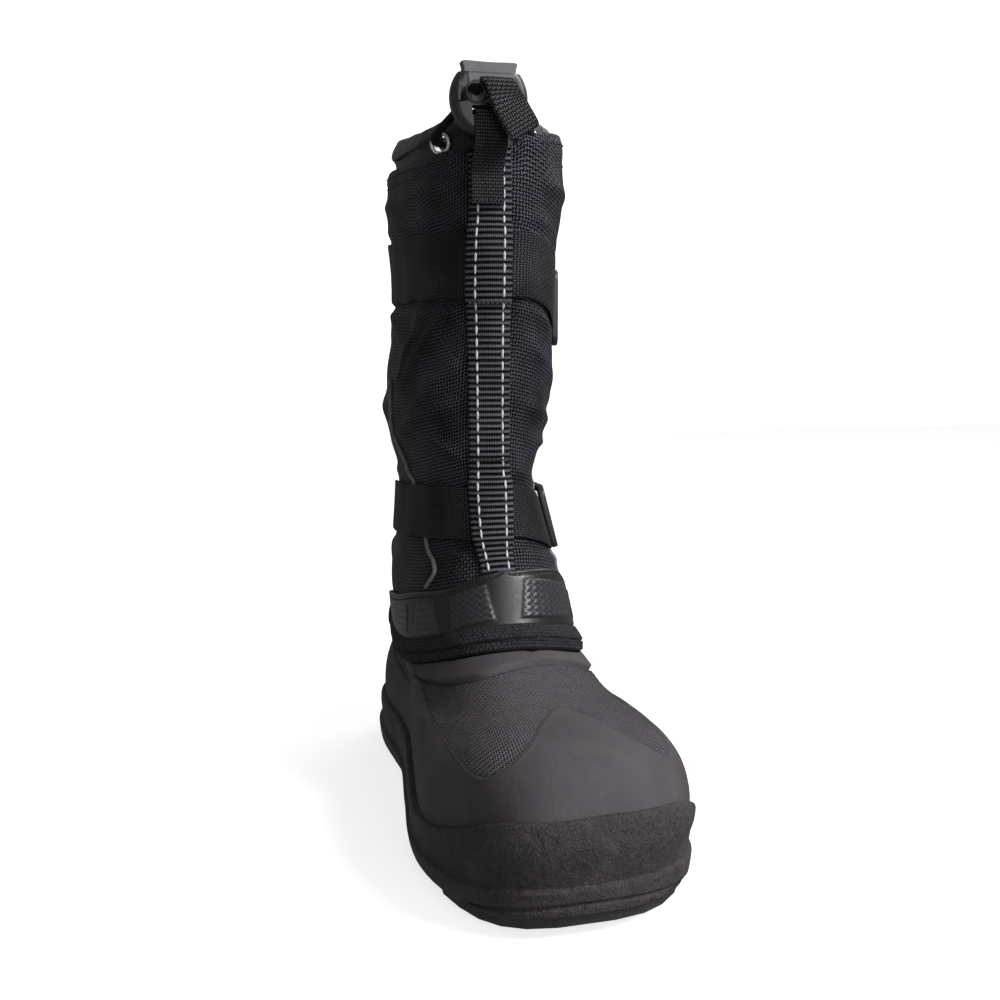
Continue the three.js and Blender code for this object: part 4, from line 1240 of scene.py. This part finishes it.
def make_spine(looks):
    at, across, facing = spine_line(620, 0.0)

    def ribs(along, side):
        bar = np.abs(np.sin(math.pi * along / RIB_PITCH)) ** 0.6
        return 0.5 * bar * (np.abs(side) < 4.7) + 0.2 * (np.abs(side) >= 4.7)

    left, right = (spine_line(620, side * SPINE_WIDTH / 2)[0] for side in (-1, 1))
    a, b = section(44, 0.5, 0.4)
    along = lengths(at)[:, None]
    flat = mix(left[:, None], right[:, None], ((1 + a) / 2)[None, :, None])
    crown = (at - (left + right) / 2)[:, None] * (1 - a ** 2)[None, :, None]
    side = np.broadcast_to(a * SPINE_WIDTH / 2, (len(at), len(a)))
    lift = WEBBING / 2 + b * WEBBING / 2 + np.where(b > 0.3, ribs(along, side), 0)
    loops = flat + crown + facing[:, None] * lift[..., None]
    v = np.broadcast_to(along, (len(at), len(a) + 1)) * MM
    u = np.broadcast_to(np.append(a, a[0]) * SPINE_WIDTH / 2 * MM, v.shape)
    spine = loft("spine_webbing_look", loops[:, ::-1], uv=turned(np.stack([u, v], -1)))
    settle(spine, looks["spine"], ["spine_webbing"])

    # Dark stitches across it, where it is sewn down.
    for height, name in ((163, "low"), (234, "high")):
        row = np.argmin(np.abs(at[:, 2] - height))
        places = np.linspace(-0.44, 0.44, 10)[:, None]
        spots = at[row] + places * (right[row] - left[row]) + facing[row] * (WEBBING + 0.75)
        way, out = (np.broadcast_to(v[row], spots.shape) for v in (across, facing))
        settle(beads(f"spine_tack_{name}", spots, way, out, 1.7, 1.1, 0.5), looks["seam"])

    # Two rows of reflective stitches.
    for side, name in ((-1, "medial"), (1, "lateral")):
        line, _, normal = spine_line(600, side * STITCH_SIDE)
        length = lengths(line)
        places = np.arange(3, length[-1] - 2, STITCH_PITCH)
        spot, out = at_lengths(line, length, places), unit(at_lengths(normal, length, places))
        way = unit(np.gradient(spot, axis=0))
        face = spot + out * (WEBBING + 0.3)
        thread = beads(f"spine_stitches_{name}", face, way, out, STITCH_LENGTH, 1.1, 0.35)
        settle(thread, looks["stitch"])


def make_buckle(looks, name):
    """A ladder-lock frame with rounded bars, standing on its strap."""
    strap = STRAPS[name]
    level = level_at(strap["lateral"], 0.24, 8, EDGE)
    girths = np.linspace(0.1, 0.4, 1201)
    girth = girths[np.argmin(np.abs(turn_of(UPPER, level, girths) - strap["turn"]))]
    out = outward(UPPER, level, turn_of(UPPER, level, girth))
    rise = unit(np.array([0, 0, 1]) - out * out[2])
    across = np.cross(rise, out)
    middle = skin(UPPER, level, girth, GAP + WEBBING + 3.2 + 1.7)
    bar, width, height, corner = 3.6, 24, strap["width"] + 8, 3.4
    half_x, half_y = (width - bar) / 2, (height - bar) / 2
    path = []
    for sx, sy, start in ((1, 1, 0), (-1, 1, 90), (-1, -1, 180), (1, -1, 270)):
        for step in np.linspace(0, 90, 9):
            angle = math.radians(start + step)
            path.append((sx * (half_x - corner) + corner * math.cos(angle),
                         sy * (half_y - corner) + corner * math.sin(angle)))
    path = np.array(path)
    bow = -0.018 * path[:, 0] ** 2
    points = middle + path[:, :1] * across + path[:, 1:] * rise + bow[:, None] * out
    way = unit(np.roll(points, -1, 0) - np.roll(points, 1, 0))
    normal = np.broadcast_to(out, points.shape)
    rim = ribbon("rim", points, np.cross(way, normal), normal, bar, 3.4, closed=True, places=20, lap=0.7)
    reach = np.linspace(-half_y, half_y, 24)[:, None]
    line = middle + reach * rise + 0.4 * out
    across, out = (np.broadcast_to(way, line.shape) for way in (across, out))
    cross = ribbon("bar", line, across, out, bar, 3, places=20, lap=0.8)
    buckle = join(f"{name}_buckle_look", [rim, cross])
    settle(buckle, looks["plastic"], [f"{name}_buckle"])


def make_piping(looks):
    for name, spots in (
        ("medial_high", ((11.9, -0.262), (11.0, -0.246), (10.45, -0.228), (10.0, -0.196), (9.75, -0.176))),
        ("medial_low", ((9.3, -0.148), (8.98, -0.136), (8.6, -0.116), (8.25, -0.111), (7.95, -0.13))),
        ("lateral_high", ((11.9, 0.262), (11.0, 0.246), (10.45, 0.228), (10.0, 0.196), (9.75, 0.176))),
        ("lateral_low", ((9.3, 0.148), (8.98, 0.15), (8.6, 0.156), (8.25, 0.16), (7.95, 0.17))),
    ):
        line = sweep([(level, girth, 0) for level, girth in spots], 60)
        lift = np.maximum(shaft_offset(line[:, 0], line[:, 1]), -0.2) + 0.35
        pipe = tube(f"piping_{name}", skin(UPPER, line[:, 0], line[:, 1], lift), 1.05, 12)
        settle(pipe, looks["piping"])


def make_seams(looks):
    girth = np.linspace(-0.498, 0.498, 150)
    girth = girth[np.abs(girth + 0.02) > 0.07]
    for name, height, lift in (("low", 15.52, 0.04), ("top", 15.8, 0.16)):
        level = np.full(girth.shape, height)
        face = shaft_offset(level, girth) + lift
        seam = dashes(f"shaft_seam_{name}", UPPER, level, girth, face, 1.3, 0.45, 0.3)
        sway(seam)
        settle(seam, looks["seam"])
    level = np.linspace(8.6, 15.4, 84)
    for girth, name in ((-0.487, "medial"), (0.487, "lateral")):
        girth = np.full(level.shape, girth)
        face = shaft_offset(level, girth) + 0.05
        seam = dashes(f"back_seam_{name}", UPPER, level, girth, face, 1.7, 0.5)
        settle(seam, looks["seam"])
    girth = np.linspace(-0.498, 0.498, 230)
    level = np.full(girth.shape, 1.75)
    seam = dashes("collar_stitches", COLLAR, level, girth, pleats(level, girth), 0.9, 0.35, 0.2)
    sway(seam)
    settle(seam, looks["seam"])


# ------------------------------------------------------------------ lock
def make_eyelets(looks):
    profile = (
        (EYELET_INNER, -3), (EYELET_INNER, 0.9), (EYELET_INNER + 0.12, 1.7),
        (EYELET_INNER + 0.5, 2.2), (EYELET_INNER + 1, 2.2), (EYELET_OUTER - 0.25, 1.9),
        (EYELET_OUTER, 1.4), (EYELET_OUTER - 0.05, 1.0), (4.45, 0.9), (4.4, -1.4), (4.4, -3),
        (EYELET_OUTER - 0.4, -3.1), (EYELET_OUTER - 0.4, -3.6), (EYELET_INNER + 0.2, -3.6),
        (EYELET_INNER, -3.4),
    )
    for side, name in ((-1, "medial"), (1, "lateral")):
        at, out = EYELETS[side]
        axis = unit(np.array(out) + (0, -0.45, 0))
        ring = unit(np.cross(axis, [0.21, 0.3, 0.9]))
        other = np.cross(axis, ring)
        angle = turns(64)
        circle = np.cos(angle)[:, None] * ring + np.sin(angle)[:, None] * other
        loops = np.array([at + circle * radius + axis * (up + 1.1) for radius, up in profile])
        eyelet = loft(f"eyelet_look_{name}", loops, wrap=True)
        settle(eyelet, looks["steel"], [f"eyelet_{name}"])


def cylinder(radius, top, depth, x, y, z, squeeze=1.0):
    """A cutter standing along Y."""
    angle = turns(48)
    rings = [
        np.stack([x + r * np.cos(angle), 0 * angle + at, z + squeeze * r * np.sin(angle)], -1)
        for r, at in ((radius, y - depth / 2), (top, y + depth / 2))
    ]
    return loft("cutter", np.array(rings))


def block(width, depth, height, x, y, z):
    corners = np.array([(1, -1), (1, 1), (-1, 1), (-1, -1)]) / 2
    rows = [
        [(x + a * width, y + b * depth, z + up * height) for a, b in corners]
        for up in (-0.5, 0.5)
    ]
    return loft("cutter", np.array(rows))


def cut(piece, cutters):
    for cutter in cutters:
        modifier = piece.modifiers.new("cut", "BOOLEAN")
        modifier.operation = "DIFFERENCE"
        modifier.object = cutter
    whole = piece.evaluated_get(bpy.context.evaluated_depsgraph_get())
    mesh = bpy.data.meshes.new_from_object(whole)
    piece.modifiers.clear()
    piece.data = mesh
    for cutter in cutters:
        bpy.data.objects.remove(cutter)
    bevel = piece.modifiers.new("ease", "BEVEL")
    bevel.width = 0.0005
    bevel.segments = 3
    bevel.angle_limit = math.radians(32)
    bevel.harden_normals = True
    return piece


def make_lock(looks):
    half = LOCK_THICKNESS / 2
    centre = np.array([LOCK_X, LOCK_Y, LOCK_Z], float)
    profile = [(0.01, -half - 0.2), (5, -half - 0.2), (10, -half)]
    for t in np.linspace(0, math.pi / 2, 9):
        profile.append((LOCK_RADIUS - 3.6 + 3.6 * math.sin(t), -half + 3.4 * (1 - math.cos(t))))
    for t in np.linspace(0, math.pi / 2, 9):
        profile.append((LOCK_RADIUS - 3.6 + 3.6 * math.cos(t), half - 3.4 * (1 - math.sin(t))))
    profile += [(10, half), (0.01, half)]
    angle = turns(128)
    circle = np.stack([np.cos(angle), 0 * angle, np.sin(angle)], -1)
    loops = np.array([centre + circle * r + np.array([0, y, 0]) for r, y in profile])
    disc = loft("cord_lock_body_look", loops[:, ::-1])
    cutters = [
        block(40, 20, 12, *(centre + (0, 0, LOCK_FLAT + 6))),
        block(25.4, 6.2, 12, *(centre + (0, 0, WELL_FLOOR + 6))),
        block(LOOP_WIDTH + 2, 20, 4, *(centre + (0, 0, -5.6))),
    ]
    for side in (1, -1):
        x, _, z = cord_hole(side)
        cutters.append(cylinder(CORD_HOLE_RADIUS, CORD_HOLE_RADIUS, 20, x, LOCK_Y, z))
        cutters.append(cylinder(5.2, CORD_HOLE_RADIUS, 2.6, x, LOCK_Y - half + 0.7, z))
        cutters.append(cylinder(1.3, 1.3, 20, LOCK_X + side * 14.4, LOCK_Y, LOCK_Z + 2, 3.6))
    settle(cut(disc, cutters), looks["plastic"], ["cord_lock_body"])

    # A pale plate shows in the disc's face round the cord holes, with a dark rim.
    flat = [(-10.6, 9.9), (-10.2, 4), (-8.6, -2.4), (8.6, -2.4), (10.2, 4), (10.6, 9.9)]
    front = centre + (0, -half - 0.15, 3.7)
    rows = [
        [front + (x * grow, y, (z - 3.7) * grow) for x, z in flat]
        for y, grow in ((0.4, 1), (-0.15, 1), (-0.4, 0.97), (-0.45, 0.9))
    ]
    plate = loft("cord_lock_plate", np.array(rows)[:, ::-1])
    cutters = [cylinder(4.3, 4.3, 12, *(cord_hole(side) - (0, half, 0))) for side in (1, -1)]
    settle(cut(plate, cutters), looks["button"])
    turn = turns(64)
    for side, name in ((1, "lateral"), (-1, "medial")):
        at = centre + (side * CORD_HOLE_SIDE, -half - 0.35, CORD_HOLE_UP)
        ring = at + np.stack([4.55 * np.cos(turn), 0 * turn, 4.55 * np.sin(turn)], -1)
        way = np.stack([-np.sin(turn), 0 * turn, np.cos(turn)], -1)
        out = np.broadcast_to(np.array([0, -1.0, 0]), ring.shape)
        lip = ribbon(f"cord_lock_lip_{name}", ring, np.cross(way, out), out, 1.0, 0.9,
                     closed=True, places=14, lap=0.8)
        settle(lip, looks["plastic"])

    # The button: flared to its lip, with a shallow hollow along its top.
    low, high = BUTTON_LOW, BUTTON_HIGH
    foot = [(x, low) for x in (-12.1, -6, 0, 6, 12.1)]
    side = [
        (12.1, low + 1.6), (12, low + 3), (12.15, high - 2.6), (12.7, high - 1.4),
        (12.7, high - 0.5), (11.8, high - 0.1), (7, high - 0.2),
    ]
    outline = np.array(foot + side + [(0, high - 0.5)] + [(-x, z) for x, z in side[::-1]])
    middle = outline.mean(0)
    near = [(-2.7, 0.93), (-2.62, 0.965), (-2.3, 0.99), (-1, 1)]
    rows = [
        [centre + (x, y, z) for x, z in middle + (outline - middle) * grow]
        for y, grow in near + [(-y, grow) for y, grow in near[::-1]]
    ]
    button = loft("cord_lock_button_look", np.array(rows)[:, ::-1], levels=2)
    settle(button, looks["button"], ["cord_lock_button"], "lock_button")


def make_loop(looks):
    level = level_at(np.array([LOOP_FOOT, 285.0, 291.0, 297.0]), 0.0, 10, EDGE)
    girth = girth_at(level, np.full(4, LOOP_X + LOOP_WIDTH / 2))
    front = skin(UPPER, level, girth, np.full(4, 3 * GAP + 1.5 * WEBBING))[:, 1]
    slot = LOCK_Z - 5.6
    face = LOCK_Y - LOCK_THICKNESS / 2 - GAP - WEBBING / 2
    rear = LOCK_Y + LOCK_THICKNESS / 2 + GAP + WEBBING / 2
    path = [
        (front[0], LOOP_FOOT), (front[1], 285), (front[2], 291), (mix(front[3], face, 0.45), 297),
        (face + 0.9, 302), (face, 306), (face, slot - 1.4), (face + 1, slot),
        (rear - 1, slot), (rear, slot - 1.4), (rear, 306),
    ]
    line = sweep([(LOOP_X, y, z) for y, z in path], 240)
    way = unit(np.gradient(line, axis=0))
    across = np.broadcast_to(np.array([1.0, 0, 0]), line.shape)
    normal = unit(np.cross(across, way))
    loop = ribbon("lock_loop_look", line, across, normal, LOOP_WIDTH, WEBBING)
    settle(loop, looks["webbing"], ["lock_loop"])
    rows = np.linspace(-LOOP_WIDTH / 2 + 1, LOOP_WIDTH / 2 - 1, 8)
    at = line[6] + rows[:, None] * np.array([1, 0, 0]) + normal[6] * (WEBBING / 2 + 0.1)
    way = np.broadcast_to(np.array([1.0, 0, 0]), at.shape)
    bar = beads("lock_loop_stitches", at, way, np.broadcast_to(normal[6], at.shape), 1.5, 0.5, 0.3)
    settle(bar, looks["seam"])


def make_tab(looks):
    """A flat braid folded double over the cord's ends, hanging at a slant."""
    down = np.array([math.sin(LEAN), 0, -math.cos(LEAN)])
    across = np.array([math.cos(LEAN), 0, math.sin(LEAN)])
    out = np.array([0, -1.0, 0])
    half = TAB_THICKNESS / 2 - 1.0
    path = [
        (19, -half), (14, -half), (9, -half), (4, -1.7), (0.5, -2.7), (-2, -2.3), (-3.4, -0.2),
        (-2.7, 2.2), (-0.5, 2.9), (3, 2.1), (7, half + 0.4), (12, half + 0.3), (17, half + 0.7),
        (20.4, half + 0.5), (21.6, 0.2), (20.8, -half + 0.1),
    ]
    line = sweep([TAB_HEAD + down * a + out * b for a, b in path], 260)
    way = unit(np.gradient(line, axis=0))
    drop = (line - TAB_HEAD) @ down
    lean = LEAN * smooth(drop, -1, 12)
    wide = np.stack([np.cos(lean), 0 * lean, np.sin(lean)], -1)
    normal = unit(np.cross(wide, way))

    def grain(along, side):
        return 0.2 * np.abs(np.sin(along * 1.5)) * np.abs(np.cos(side * 1.45))

    tab = ribbon("pull_tab_look", line, wide, normal, TAB_WIDTH - 0.6, 1.8, places=40, relief=grain)
    settle(tab, looks["braid"], ["pull_tab"])
    start = TAB_HEAD + down * 21.2
    lines = []
    for side, reach, bend, depth in (
        (-5, 5, 2, -0.6), (-2, 3.4, -1.5, 0.6), (1.5, 4.2, 1.2, -0.6),
        (4.6, 5.4, -2.2, 0.6), (6, 3, 2.4, -0.6),
    ):
        root = start + across * side + out * depth
        tip = root + down * reach + across * bend * 0.6
        middle = (root + tip) / 2 + across * bend * 0.5 + out * 0.4
        lines.append([root - down, root, middle, tip])
    loose_threads("pull_tab_threads", lines, 24, 0.14, looks["braid"])


def main():
    make_view()
    make_light()
    looks = make_looks()
    make_floor(looks)
    make_cords(looks)
    make_outsole(looks)
    make_galosh(looks)
    make_insole(looks)
    make_shaft(looks)
    make_collar(looks)
    make_roll(looks)
    make_guard(looks)
    for name in STRAPS:
        make_strap(looks, name)
        make_buckle(looks, name)
    make_spine(looks)
    make_piping(looks)
    make_seams(looks)
    make_eyelets(looks)
    make_lock(looks)
    make_loop(looks)
    make_tab(looks)


main()
